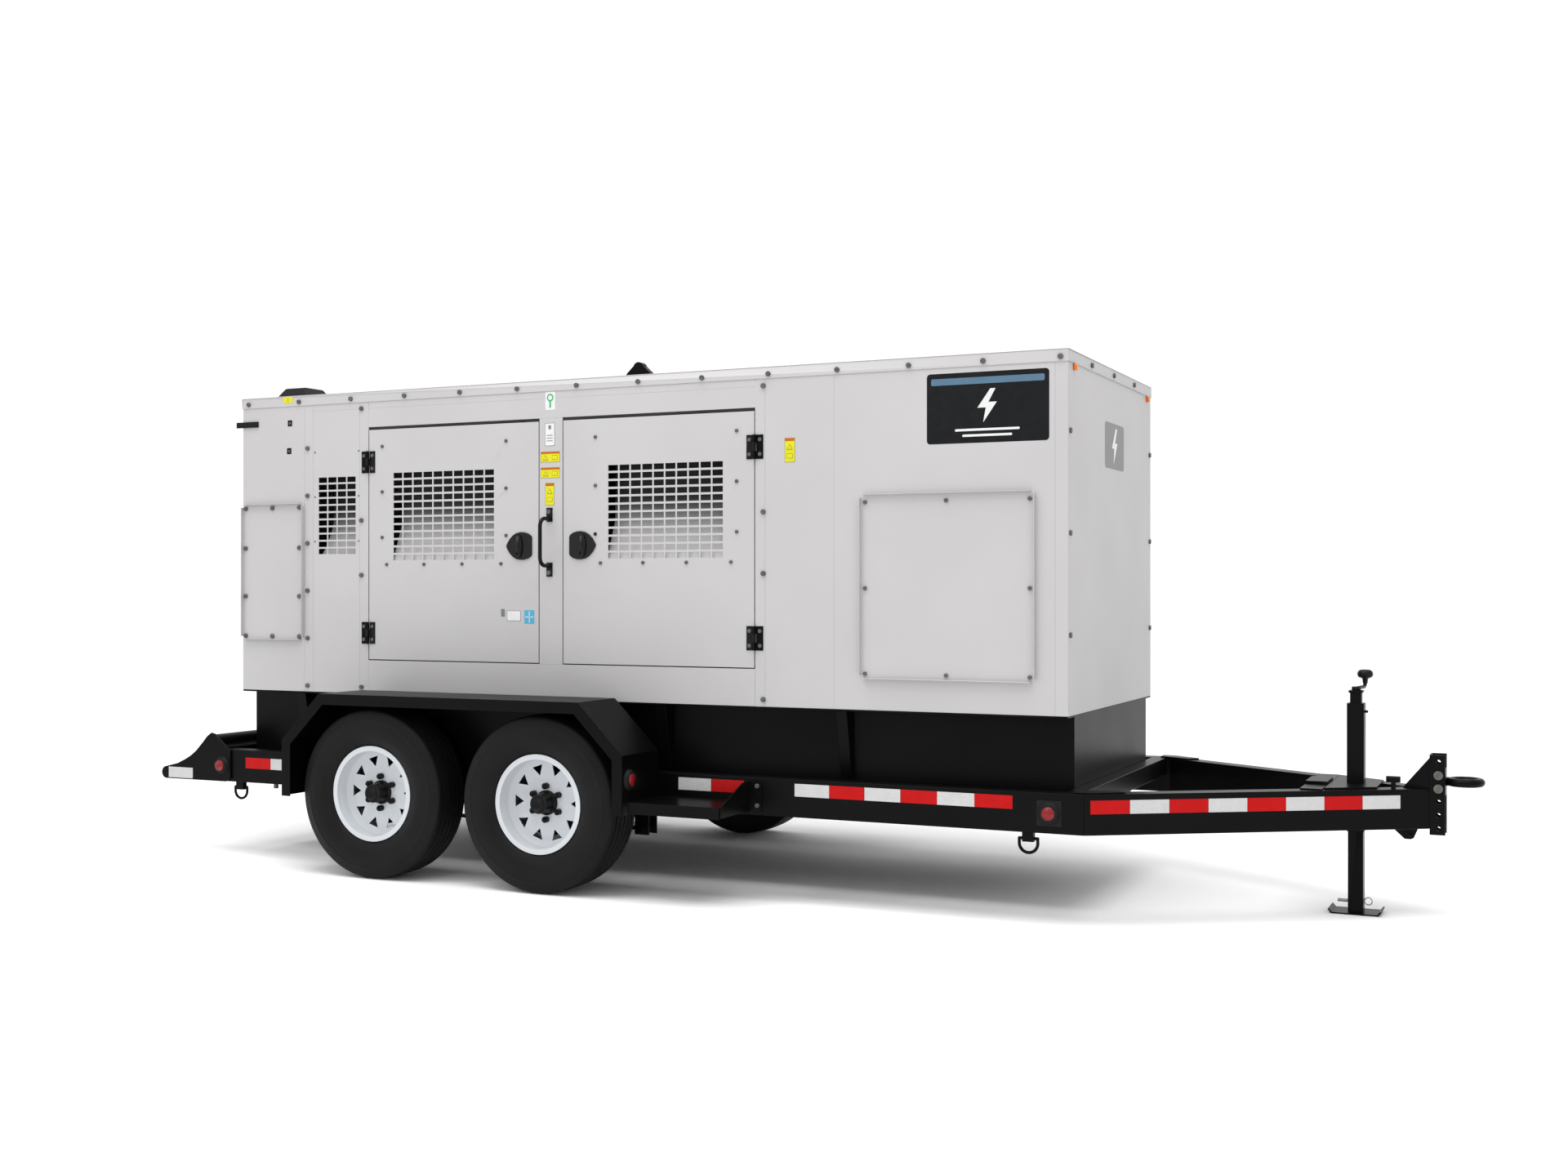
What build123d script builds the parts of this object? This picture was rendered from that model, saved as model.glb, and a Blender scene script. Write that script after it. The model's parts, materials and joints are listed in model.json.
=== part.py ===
from build123d import *
import os
import math

os.makedirs("parts", exist_ok=True)

# Towable diesel generator on a two-axle trailer. Millimetres.
# +X runs to the hitch, +Y to the far side, +Z up, ground at z = 0, origin under the middle.

# ---- main frame ----
rail_height = 152.4
rail_width = 76.2
rail_wall = 5.0
rail_bottom = 347.0
rail_half_span = 782.5
rail_rear_x = -2560.0
rail_bend_x = 1606.0
tongue_end_x = 2749.4
rail_top = rail_bottom + rail_height
rail_inner = rail_half_span - rail_width
rail_middle_y = rail_half_span - rail_width / 2

crossmember_width = 65.0
crossmember_drop = 76.0
gusset_thickness = 7.0

# ---- hitch ----
channel_depth = 56.3
channel_bottom = 324.5
channel_height = 304.8
channel_half_width = 44.5
channel_wall = 7.0
channel_hole_pitch = 50.8
channel_hole_radius = 8.5
channel_hole_x = 2781.0
lunette_x = 2874.0
lunette_z = 526.8
lunette_outer_radius = 69.85
lunette_bar = 31.75
lunette_bore_radius = 38.1
lunette_land = 11.0

# ---- jack ----
jack_x = 2479.0
jack_tube_side = 63.5
jack_tube_wall = 3.0
jack_tube_bottom = 318.0
jack_tube_top = 816.5
jack_leg_gap = 0.5
jack_leg_wall = 4.0
jack_leg_top = 560.0
jack_foot_length = 200.0
jack_foot_width = 130.0
jack_foot_thickness = 6.0
jack_screw_radius = 11.0
jack_crank_radius = 127.0
jack_crank_bar = 7.0
jack_crank_top = 941.0
jack_crank_lean = 9.0
jack_knob_radius = 30.0

# ---- running gear ----
front_axle_x = -629.5
axle_spacing = 856.3
rear_axle_x = front_axle_x - axle_spacing
tyre_radius = 370.0
tyre_width = 223.0
tyre_middle_y = 944.0
tread_half_width = 95.0
rim_seat_radius = 190.5
rim_flange_radius = 207.4
rim_half_width = 86.8
rim_lip = 7.0
rim_sheet = 4.5
disc_offset = 14.0
disc_thickness = 6.0
disc_step_radius = 100.0
disc_step = 2.5
disc_hole_count = 10
disc_hole_inner = 115.6
disc_hole_outer = 158.0
disc_hole_width = 51.0
lug_circle_radius = 69.85
lug_count = 6
hub_cap_radius = 52.0
hub_cap_front_radius = 40.0
hub_cap_depth = 65.0
spindle_radius = 22.0
running_gap = 0.05
axle_beam_side = 60.0
axle_beam_z = 290.0
spring_half_length = 352.0
spring_width = 60.0
spring_leaf = 8.0
equalizer_half = 75.8

# ---- fenders and steps ----
fender_half_span = 1079.5
fender_sheet = 4.0
fender_skirt = 48.0
fender_rear_x = -1943.5
fender_front_x = -196.6
fender_top_z = 801.3
fender_shoulder_z = 593.0
fender_slant = 208.8
fender_rear_bottom = 343.0
fender_front_bottom = 353.0
step_rear_x = -184.0
step_front_x = 226.0
step_top_z = 405.4
step_half_span = 1054.0
step_skirt = 47.0

# ---- tie-down rings ----
ring_bar_radius = 6.0
ring_half_width = 36.0
ring_leg = 18.0
ring_axis_drop = 25.0
ring_y = 760.0
ring_rear_x = -2473.0
ring_front_x = 1387.0

# ---- rear end plates ----
end_plate_thickness = 11.0
end_plate_rear_x = -2944.0
bumper_pipe_radius = 36.5
bumper_pipe_x = -2631.0
bumper_pipe_z = 529.0
tail_lamp_radius = 50.8

# ---- canopy ----
canopy_rear_x = -2531.0
canopy_front_x = 1519.0
canopy_half_width = 686.0
canopy_bottom = 779.0
skirt_bottom = 2122.0
roof_top = 2171.0
skirt_overhang = 3.4
canopy_sheet = 3.0
panel_gap = 5.0
frame_tube_width = 30.0
frame_tube_depth = 25.0
header_seam_z = 2092.0

door_bottom = 937.0
door_top = 1992.0
rear_door_edges = (-1775.0, -850.5)
front_door_edges = (-722.7, 199.4)
door_depth = 27.0
door_head_gap = 14.0
door_screw_row_z = 1372.0
door_grille_bottom = 1391.0
door_grille_top = 1791.0
door_grille_width = 552.0
grille_columns = 10
grille_rows = 12
grille_cell_width = 49.0
grille_cell_height = 25.0
small_grille_edges = (-2071.0, -1854.5)
small_grille_bottom = 1423.0
small_grille_top = 1781.0
small_grille_columns = 4
small_grille_rows = 11

hinge_axis_gap = 4.0
hinge_axis_stand_off = 9.0
hinge_barrel_radius = 7.5
hinge_pin_radius = 4.0
hinge_leaf_width = 38.0
hinge_leaf_thickness = 3.0
hinge_height = 100.0
hinge_heights = (1058.0, 1844.0)
hinge_knuckle_gap = 0.6

latch_z = 1449.0
latch_height = 122.0
latch_width = 132.0
latch_inset = 66.0
latch_shaft_radius = 9.0
latch_cam_length = 128.0

rear_post_width = 86.0
rear_opening_half = canopy_half_width - rear_post_width
rear_door_bottom = 804.0
rear_door_top = 2085.0
rear_hinge_z = 2044.5
rear_hinge_x = -2548.0
rear_hinge_pin = 6.0

front_cover_edges = (672.0, 1392.0)
front_cover_bottom = 903.5
front_cover_top = 1637.5
rear_cover_edges = (-2528.0, -2158.0)
rear_cover_bottom = 1021.0
rear_cover_top = 1663.0
cover_lip = 20.0
cover_sheet = 2.5
cover_notch = 14.0

handle_bar_radius = 8.5
handle_bar_inset = 48.0
handle_bend_radius = 36.0
handle_foot_rear_x = -807.0
handle_foot_front_x = -778.0
handle_foot_height = 61.0
handle_top_z = 1614.0
handle_bottom_z = 1314.0
handle_stand_off = 77.0

lifting_x = -735.0
lifting_top_z = 2328.0
lifting_thickness = 40.0
lifting_base_width = 250.0
lifting_bore_radius = 25.0
lifting_bore_z = 2229.0
lifting_tip_radius = 27.5

roof_cover_x = -2300.0
roof_cover_y = -520.0
roof_cover_width = 192.0
roof_cover_height = 53.0

marker_inset = 79.0
corner_screw_inset = 26.0
cover_screw_radius = 8.0
marker_half_span = canopy_half_width - marker_inset
marker_z = 2108.0
marker_radius = 13.0
marker_depth = 14.0

# ---- base tank ----
tank_half_width = 597.0
tank_bottom = rail_bottom + 76.0
tank_wall = 5.0
tank_lip = 8.0

# ---- machinery ----
shaft_z = 1230.0
engine_rear_x = -560.0
engine_front_x = 380.0
engine_half_width = 230.0
generator_rear_x = -1500.0
generator_radius = 300.0
fan_x = 440.0
fan_radius = 330.0
fan_thickness = 50.0
fan_blades = 7
radiator_x = 560.0
radiator_depth = 120.0
radiator_half_width = 440.0
radiator_top = 1720.0
silencer_x = 1080.0
silencer_z = 1500.0
silencer_radius = 150.0

screw_radius = 10.5
screw_height = 8.0
door_screw_radius = 7.5
door_screw_height = 5.0
rivet_radius = 4.0
rivet_height = 2.0
bolt_radius = 9.5
bolt_height = 8.0


def block(x0, x1, y0, y1, z0, z1):
    centre = Pos((x0 + x1) / 2, (y0 + y1) / 2, (z0 + z1) / 2)
    return centre * Box(x1 - x0, y1 - y0, z1 - z0)


def rod(axis, start, end, p, q, radius):
    """Cylinder along an axis; p and q are its two other coordinates in x, y, z order."""
    middle = (start + end) / 2
    length = end - start
    if axis == "x":
        return Pos(middle, p, q) * Rot(0, 90, 0) * Cylinder(radius, length)
    if axis == "y":
        return Pos(p, middle, q) * Rot(90, 0, 0) * Cylinder(radius, length)
    return Pos(p, q, middle) * Cylinder(radius, length)


def outline_xz(points, y0, y1):
    """Polygon in the side view, given thickness from y0 to y1."""
    face = Plane.XZ.offset(-y1) * make_face(Polyline(*points, close=True))
    return extrude(face, y1 - y0, dir=(0, -1, 0))


def outline_xy(points, z0, z1):
    """Polygon in the plan view, given thickness from z0 to z1."""
    face = Plane.XY.offset(z0) * make_face(Polyline(*points, close=True))
    return extrude(face, z1 - z0, dir=(0, 0, 1))


def outline_yz(points, x0, x1):
    """Polygon in the front view, given thickness from x0 to x1."""
    face = Plane.YZ.offset(x0) * make_face(Polyline(*points, close=True))
    return extrude(face, x1 - x0, dir=(1, 0, 0))


def far(shapes):
    """Mirror images on the far side."""
    return [mirror(shape, about=Plane.XZ) for shape in shapes]


def both(shapes):
    return list(shapes) + far(shapes)


def evenly(start, end, count):
    return [start + (end - start) * i / (count - 1) for i in range(count)]


# ------------------------------------------------------------------ frame


def side_rail():
    solid = block(
        rail_rear_x, rail_bend_x, -rail_half_span, -rail_inner, rail_bottom, rail_top
    )
    hollow = block(
        rail_rear_x,
        rail_bend_x,
        -rail_half_span + rail_wall,
        -rail_inner - rail_wall,
        rail_bottom + rail_wall,
        rail_top - rail_wall,
    )
    return solid - hollow


def tongue_slope():
    return (rail_half_span - channel_half_width) / (tongue_end_x - rail_bend_x)


def tongue_outer_y(x):
    """Distance of the tongue rail's outer face from the middle plane."""
    return rail_half_span - tongue_slope() * (x - rail_bend_x)


def tongue_inner_y(x):
    width = rail_width * math.hypot(1, tongue_slope())
    return tongue_outer_y(x) - width


def tongue_rail():
    width = rail_width * math.hypot(1, tongue_slope())
    wall = rail_wall * math.hypot(1, tongue_slope())
    meet_x = rail_bend_x + (rail_half_span - width) / tongue_slope()
    points = [
        (rail_bend_x, -rail_half_span),
        (tongue_end_x, -channel_half_width),
        (tongue_end_x, 0),
        (meet_x, 0),
        (rail_bend_x, -rail_half_span + width),
    ]
    cavity_end = meet_x - 80
    hollow = [
        (rail_bend_x, -rail_half_span + wall),
        (cavity_end, -tongue_outer_y(cavity_end) + wall),
        (cavity_end, -tongue_inner_y(cavity_end) - wall),
        (rail_bend_x, -rail_half_span + width - wall),
    ]
    tube = outline_xy(points, rail_bottom, rail_top)
    return tube - outline_xy(hollow, rail_bottom + rail_wall, rail_top - rail_wall)


def crossmembers():
    """Cross tubes between the rails, and the gusset plates on top of the two bends."""
    found = []
    for x in (1520.0, 560.0, -170.0, -1090.0, -2212.0, -2500.0):
        top = rail_top if x > canopy_front_x else tank_bottom
        low = top - crossmember_drop
        outer = block(x, x + crossmember_width, -rail_inner, rail_inner, low, top)
        inner = block(
            x + 5, x + crossmember_width - 5, -rail_inner, rail_inner, low + 5, top - 5
        )
        found.append(outer - inner)
    plate = outline_xy(
        [(1560, -770), (1620, -764), (1737, -686), (1700, -640), (1560, -708)],
        rail_top,
        rail_top + gusset_thickness,
    )
    found += both([plate])
    return found


def rear_end_plate():
    """Side plate of the rear: tail, upper ear round the pipe, and the flat run under it."""
    tail_radius = 29.5
    tail_x = end_plate_rear_x + tail_radius
    points = [
        (tail_x, 345.5),
        (-2540, 346.7),
        (-2511.3, 363.7),
        (-2511.3, 490.6),
        (-2608.6, 569.9),
        (-2631, 575.3),
        (-2656.6, 557.6),
        (-2684, 528),
        (-2725.6, 487),
        (-2760, 462),
        (-2795, 443),
        (-2844, 421.5),
        (tail_x, 404.5),
    ]
    y0 = -rail_half_span - end_plate_thickness
    plate = outline_xz(points, y0, -rail_half_span)
    return plate + rod("y", y0, -rail_half_span, tail_x, 345.5 + tail_radius, tail_radius)


def rear_bumper():
    """Cross pipe between the end plates, and the board under it that holds the tail lamps."""
    pipe = rod("y", -rail_half_span, rail_half_span, bumper_pipe_x, bumper_pipe_z, bumper_pipe_radius)
    pipe -= rod(
        "y", -rail_half_span, rail_half_span, bumper_pipe_x, bumper_pipe_z, bumper_pipe_radius - 5
    )
    board_x = bumper_pipe_x - 4
    bottom = rail_bottom + 40
    board = block(board_x, board_x + 6, -rail_half_span, rail_half_span, bottom, bumper_pipe_z)
    board -= rod(
        "y", -rail_half_span, rail_half_span, bumper_pipe_x, bumper_pipe_z, bumper_pipe_radius - 2
    )
    for side in (-1, 1):
        board -= rod("x", board_x - 1, board_x + 7, side * 715, tail_lamp_z(), tail_lamp_radius + 4)
    return [pipe + board]


def tail_lamp_z():
    return rail_bottom + 90


def tail_lamps():
    board_x = bumper_pipe_x - 4
    found = []
    for side in (-1, 1):
        ring = rod("x", board_x - 8, board_x + 10, side * 715, tail_lamp_z(), tail_lamp_radius + 4)
        ring -= rod("x", board_x - 8, board_x + 10, side * 715, tail_lamp_z(), tail_lamp_radius)
        found.append(ring)
    return found


def grommet_plate(x, y, z, half):
    return block(x - half, x + half, y - 3, y, z - half, z + half)


def lamp_grommets():
    """Black rubber holders of the small side lamps, and the rings of the two tail lamps."""
    found = tail_lamps()
    rail_face = -rail_half_span
    for x, face in side_lamp_places():
        holder = Pos(x, face - 8, lamp_z()) * Rot(90, 0, 0) * Cone(43, 34, 16)
        holder -= rod("y", face - 16, face, x, lamp_z(), 25)
        found += both([holder])
    base = grommet_plate(1473.8, rail_face, lamp_z(), 48)
    base -= rod("y", rail_face - 3, rail_face, 1473.8, lamp_z(), 25)
    found += both([base])
    for face_x, sign in ((fender_front_x, 1), (fender_rear_x, -1)):
        x0 = min(face_x, face_x + sign * 14)
        holder = Pos(x0 + 7, -fender_lamp_y(), fender_lamp_z()) * Rot(0, 90 * sign, 0) * Cone(43, 34, 14)
        holder -= rod("x", x0, x0 + 14, -fender_lamp_y(), fender_lamp_z(), 25)
        found += both([holder])
    return found


def lamp_z():
    return rail_bottom + rail_height / 2


def fender_lamp_y():
    return 1021.0


def fender_lamp_z():
    return 492.5


def side_lamp_places():
    """X and outer face of the side lamps on the rail and on the end plate."""
    rail_face = -rail_half_span - 3
    plate_face = -rail_half_span - end_plate_thickness
    return ((1473.8, rail_face), (-2563.0, plate_face))


def lamp_lenses():
    found = []
    for x, face in side_lamp_places():
        found += both([rod("y", face - 19, face, x, lamp_z(), 25)])
    for face_x, sign in ((fender_front_x, 1), (fender_rear_x, -1)):
        x0 = min(face_x, face_x + sign * 17)
        found += both([rod("x", x0, x0 + 17, -fender_lamp_y(), fender_lamp_z(), 25)])
    board_x = bumper_pipe_x - 4
    for side in (-1, 1):
        found.append(rod("x", board_x - 12, board_x + 12, side * 715, tail_lamp_z(), tail_lamp_radius))
    return found


# ------------------------------------------------------------------ hitch and jack


def channel_hole_heights():
    lowest = channel_bottom + 24.5
    return [lowest + channel_hole_pitch * i for i in range(6)]


def hitch_channel():
    top = channel_bottom + channel_height
    end = tongue_end_x + channel_depth
    outer = block(tongue_end_x, end, -channel_half_width, channel_half_width, channel_bottom, top)
    inner_half = channel_half_width - channel_wall
    outer -= block(tongue_end_x + channel_wall, end, -inner_half, inner_half, channel_bottom, top)
    for z in channel_hole_heights():
        outer -= rod("y", -60, 60, channel_hole_x, z, channel_hole_radius)
    found = [outer]
    for side in (-1, 1):
        y = side * 30
        found.append(
            outline_xz(
                [(tongue_end_x - 97, rail_top), (tongue_end_x, rail_top), (tongue_end_x, rail_top + 118)],
                y - 4,
                y + 4,
            )
        )
    return found


def lunette_bolt_heights():
    return channel_hole_heights()[3:5]


def lunette_ring():
    """Towing eye: forged ring with a plain band in its bore, and a shank bolted in the channel."""
    ring_radius = lunette_outer_radius - lunette_bar / 2
    ring = Pos(lunette_x, 0, lunette_z) * Torus(ring_radius, lunette_bar / 2)
    band = rod("z", lunette_z - lunette_land / 2, lunette_z + lunette_land / 2, lunette_x, 0, ring_radius)
    back = tongue_end_x + channel_wall
    half = channel_half_width - channel_wall
    shank = block(back, tongue_end_x + channel_depth, -half, half, lunette_z - 52, lunette_z + 52)
    neck = block(tongue_end_x + channel_depth - 1, lunette_x - 50, -20, 20, lunette_z - 15, lunette_z + 15)
    body = ring + band + shank + neck
    body -= rod("z", lunette_z - 60, lunette_z + 60, lunette_x, 0, lunette_bore_radius)
    for z in lunette_bolt_heights():
        body -= rod("y", -60, 60, channel_hole_x, z, channel_hole_radius)
    return body


def jack_plate_z():
    return rail_top


def jack_mount():
    """Plate across the tongue rails with the square hole the jack tube stands in."""
    x0 = jack_x - 89
    x1 = jack_x + 89
    half = jack_tube_side / 2
    points = [
        (x0, -tongue_outer_y(x0) + 30),
        (x1, -tongue_outer_y(x1) + 30),
        (x1, tongue_outer_y(x1) - 30),
        (x0, tongue_outer_y(x0) - 30),
    ]
    plate = outline_xy(points, rail_top, rail_top + 8)
    return plate - block(jack_x - half, jack_x + half, -half, half, rail_top, rail_top + 8)


def jack_outer_tube():
    half = jack_tube_side / 2
    inner = half - jack_tube_wall
    tube = block(jack_x - half, jack_x + half, -half, half, jack_tube_bottom, jack_tube_top)
    tube -= block(jack_x - inner, jack_x + inner, -inner, inner, jack_tube_bottom, jack_tube_top - 8)
    head = block(jack_x - 21, jack_x + 21, -21, 21, jack_tube_top, jack_tube_top + 40.5)
    flange = block(jack_x - 26, jack_x + 26, -26, 26, jack_tube_top + 40.5, jack_tube_top + 49.5)
    body = tube + head + flange
    nipple = rod("x", jack_x + half, jack_x + half + 12, 0, 784, 5)
    body += nipple
    bore = jack_screw_radius + running_gap
    return body - rod("z", jack_tube_top - 9, jack_tube_top + 50, jack_x, 0, bore)


def jack_leg_half():
    return jack_tube_side / 2 - jack_tube_wall - jack_leg_gap


def jack_leg():
    """Inner leg with its lead nut on top, its foot, and the cross pin that holds the foot."""
    half = jack_leg_half()
    inner = half - jack_leg_wall
    leg = block(jack_x - half, jack_x + half, -half, half, jack_foot_thickness, jack_leg_top)
    leg -= block(jack_x - inner, jack_x + inner, -inner, inner, 20, jack_leg_top - 40)
    leg -= rod("z", jack_leg_top - 41, jack_leg_top + 1, jack_x, 0, jack_screw_radius + running_gap)
    length = jack_foot_length / 2
    width = jack_foot_width / 2
    foot = block(jack_x - length + 14, jack_x + length - 14, -width, width, 0, jack_foot_thickness)
    for side in (-1, 1):
        edge = jack_x + side * (length - 14)
        tip = jack_x + side * length
        foot += outline_xz(
            [(edge, 0), (tip, 16), (tip - side * 5, 20), (edge - side * 3, jack_foot_thickness)],
            -width,
            width,
        )
    for side in (-1, 1):
        foot += outline_yz(
            [(side * half, jack_foot_thickness), (side * half, 70), (side * (half + 6), 60),
             (side * (half + 8), jack_foot_thickness)],
            jack_x - 18,
            jack_x + 18,
        )
    pin = rod("x", jack_x - 69, jack_x + 31, 0, 44, 6)
    ring = Pos(jack_x + 45, 0, 46) * Rot(90, 0, 0) * Torus(14, 2)
    return leg + foot + pin + ring


def jack_crank():
    """Top crank: lead screw, hub, side arm, upright stem and knob."""
    axis_x = jack_x
    top = jack_tube_top + 49.5
    screw = rod("z", 360, top + 14, axis_x, 0, jack_screw_radius)
    hub = rod("z", top + 0.5, top + 14, axis_x, 0, 17)
    lean = math.radians(jack_crank_lean)
    knob_x = axis_x + jack_crank_radius * math.sin(lean)
    knob_y = jack_crank_radius * math.cos(lean)
    arm = Pos(axis_x, 0, top + 8) * Rot(0, 0, -jack_crank_lean) * rod(
        "y", 0, jack_crank_radius, 0, 0, jack_crank_bar
    )
    corner = Pos(knob_x, knob_y, top + 8) * Sphere(jack_crank_bar)
    stem = rod("z", top + 8, jack_crank_top - 10, knob_x, knob_y, jack_crank_bar)
    knob = rod("z", jack_crank_top - 34, jack_crank_top, knob_x, knob_y, jack_knob_radius)
    return screw + hub + arm + corner + stem + knob


def tongue_fittings():
    """Breakaway box, its bracket, the plug holder and the safety chain brackets."""
    box_x0 = jack_x - 174
    case = block(box_x0, box_x0 + 80, -120, 60, rail_top + 6, rail_top + 18)
    tray = block(box_x0, box_x0 + 80, -tongue_outer_y(box_x0 + 80) + 6, tongue_outer_y(box_x0 + 80) - 6,
                 rail_top, rail_top + 6)
    x = 2625.0
    face = -tongue_outer_y(2600)
    holder = block(x - 8, x + 8, face + 26, face + 50, rail_top, rail_top + 37)
    plug = rod("x", 2599, 2650, face + 38, rail_top + 25 + 12, 12)
    chain = outline_xz(
        [(2604, rail_bottom), (2704, rail_bottom), (2704, 336), (2690, 303), (2680, 298), (2657, 298)], -6, 6
    )
    chain += rod("y", -16, 16, 2676, 313, 7)
    return [case + tray, holder + plug, chain]


# ------------------------------------------------------------------ running gear


def tyre_shape():
    """Tyre round its own middle, axis along Y: hollow carcass with five tread grooves."""
    half = tyre_width / 2
    bead = rim_half_width - rim_lip
    outer = [
        (rim_seat_radius, bead - 14),
        (rim_seat_radius, bead),
        (rim_flange_radius + 2, bead),
        (rim_flange_radius + 10, bead + 13),
        (250, half - 5),
        (285, half),
        (315, half - 3),
        (342, half - 9),
        (tyre_radius - 9, tread_half_width + 1),
        (tyre_radius - 3, tread_half_width - 8),
        (tyre_radius, tread_half_width - 30),
    ]
    inner = [
        (tyre_radius - 18, 60),
        (342, half - 26),
        (315, half - 18),
        (285, half - 14),
        (250, half - 18),
        (215, bead - 2),
        (200, bead - 14),
    ]
    upper = [(r, y) for r, y in outer]
    lower = [(r, -y) for r, y in reversed(outer)]
    inside_low = [(r, -y) for r, y in reversed(inner)]
    inside_up = [(r, y) for r, y in inner]
    points = upper + lower + inside_low + inside_up
    face = make_face(Polyline(*points, close=True))
    for y in evenly(-62, 62, 5):
        face -= Pos(tyre_radius, y) * Rectangle(14, 7)
    return revolve(face, axis=Axis.Y)


def rim_shape():
    """Steel rim and disc round the tyre's middle, outer side at +Y."""
    seat = rim_seat_radius
    inside = rim_seat_radius - rim_sheet
    bead = rim_half_width - rim_lip
    well = 168.5
    disc_back = disc_offset - disc_thickness
    points = [
        (rim_flange_radius, bead),
        (seat, bead),
        (seat, 30),
        (well, 16),
        (well, -30),
        (seat, -44),
        (seat, -bead),
        (rim_flange_radius, -bead),
        (rim_flange_radius, -rim_half_width),
        (inside, -rim_half_width),
        (inside, -46),
        (well - rim_sheet, -32),
        (well - rim_sheet, disc_back),
        (hub_cap_front_radius, disc_back),
        (hub_cap_front_radius, disc_offset),
        (disc_step_radius - 4, disc_offset),
        (disc_step_radius, disc_offset - disc_step),
        (well - rim_sheet - 6, disc_offset - disc_step),
        (well - rim_sheet, disc_offset),
        (inside, 32),
        (inside, rim_half_width),
        (rim_flange_radius, rim_half_width),
    ]
    body = revolve(make_face(Polyline(*points, close=True)), axis=Axis.Y)
    half = disc_hole_width / 2
    hole = outline_xz(
        [(disc_hole_inner, 0), (disc_hole_outer, half), (disc_hole_outer, -half)], 0, 20
    )
    for index in range(disc_hole_count):
        body -= Rot(0, 360 / disc_hole_count * index, 0) * hole
    return body


def hub_shape():
    """Hub and brake drum with the spindle bore, closed outside by the cap."""
    back = disc_offset - disc_thickness
    hub = rod("y", -88, back, 0, 0, 48)
    flange = rod("y", back - 12, back, 0, 0, 92)
    drum = rod("y", -96, back - 12, 0, 0, 140) - rod("y", -96, back - 22, 0, 0, 128)
    body = hub + flange + drum
    return body - rod("y", -97, 20, 0, 0, spindle_radius + running_gap)


def hub_cap_shape():
    front = disc_offset + hub_cap_depth
    points = [
        (0, disc_offset + 44),
        (34, disc_offset + 44),
        (36, disc_offset),
        (hub_cap_radius, disc_offset),
        (hub_cap_radius, disc_offset + 9),
        (hub_cap_front_radius + 4, disc_offset + 14),
        (hub_cap_front_radius, front),
        (32, front),
        (32, front - 3),
        (8, front - 3),
        (8, front),
        (0, front),
    ]
    return revolve(make_face(Polyline(*points, close=True)), axis=Axis.Y)


def lug_shapes():
    found = []
    for index in range(lug_count):
        angle = math.radians(90 + 360 / lug_count * index)
        x = lug_circle_radius * math.cos(angle)
        z = lug_circle_radius * math.sin(angle)
        nut = rod("y", disc_offset, disc_offset + 20, x, z, 13)
        nose = Pos(x, disc_offset + 26, z) * Rot(-90, 0, 0) * Cone(11, 5, 12)
        found.append(nut + nose)
    return found


def place_wheel(shape, axle_x, side):
    """Moves a wheel part made round its middle to its axle, outer side outwards."""
    spot = Pos(axle_x, side * tyre_middle_y, tyre_radius)
    if side < 0:
        return mirror(spot_far(shape, axle_x), about=Plane.XZ)
    return spot * shape


def spot_far(shape, axle_x):
    return Pos(axle_x, tyre_middle_y, tyre_radius) * shape


def axle_beams():
    """Dropped square axles with an upright arm and a spindle at each end."""
    found = []
    for x in (front_axle_x, rear_axle_x):
        half = axle_beam_side / 2
        beam = block(x - half, x + half, -812, 812, axle_beam_z - half, axle_beam_z + half)
        for side in (-1, 1):
            y0, y1 = sorted((side * 792, side * 816))
            beam += block(x - half, x + half, y0, y1, axle_beam_z - half, tyre_radius + 35)
            start, end = sorted((side * 812, side * (tyre_middle_y + 36)))
            beam += rod("y", start, end, x, tyre_radius, spindle_radius)
        found.append(beam)
    return found


def spring_z():
    return axle_beam_z - axle_beam_side / 2


def leaf_springs():
    """Leaf packs under the axles, each with an eye at both ends."""
    found = []
    for x in (front_axle_x, rear_axle_x):
        top = spring_z()
        half_width = spring_width / 2
        pack = None
        for level, share in enumerate((1.0, 0.72, 0.46)):
            half = spring_half_length * share
            leaf = block(
                x - half,
                x + half,
                -rail_middle_y - half_width,
                -rail_middle_y + half_width,
                top - spring_leaf * (level + 1),
                top - spring_leaf * level,
            )
            pack = leaf if pack is None else pack + leaf
        for side in (-1, 1):
            eye_x = x + side * spring_half_length
            low = -rail_middle_y - half_width
            high = -rail_middle_y + half_width
            pack += rod("y", low, high, eye_x, top - spring_leaf / 2, 17)
        found.append(pack)
    return both(found)


def spring_hangers():
    """Hanger plates under the rails with their eye bolts, and the equalizers between the springs."""
    found = []
    eye_z = spring_z() - spring_leaf / 2
    half_width = spring_width / 2
    front_eye = front_axle_x + spring_half_length
    rear_eye = rear_axle_x - spring_half_length
    for x in (front_eye, rear_eye):
        for side in (-1, 1):
            y0, y1 = sorted((side * half_width, side * (half_width + 6)))
            plate = block(
                x - 34, x + 34, -rail_middle_y + y0, -rail_middle_y + y1, eye_z - 22, rail_bottom
            )
            head0, head1 = sorted((side * (half_width + 6), side * (half_width + 14)))
            plate += rod("y", -rail_middle_y + head0, -rail_middle_y + head1, x, eye_z, 13)
            found.append(plate)
    middle = (front_axle_x + rear_axle_x) / 2
    for side in (-1, 1):
        y0, y1 = sorted((side * half_width, side * (half_width + 6)))
        link = outline_xz(
            [
                (middle - equalizer_half - 28, eye_z - 20),
                (middle + equalizer_half + 28, eye_z - 20),
                (middle + equalizer_half + 28, eye_z + 20),
                (middle + 45, rail_bottom),
                (middle - 45, rail_bottom),
                (middle - equalizer_half - 28, eye_z + 20),
            ],
            -rail_middle_y + y0,
            -rail_middle_y + y1,
        )
        found.append(link)
    return both(found)


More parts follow.
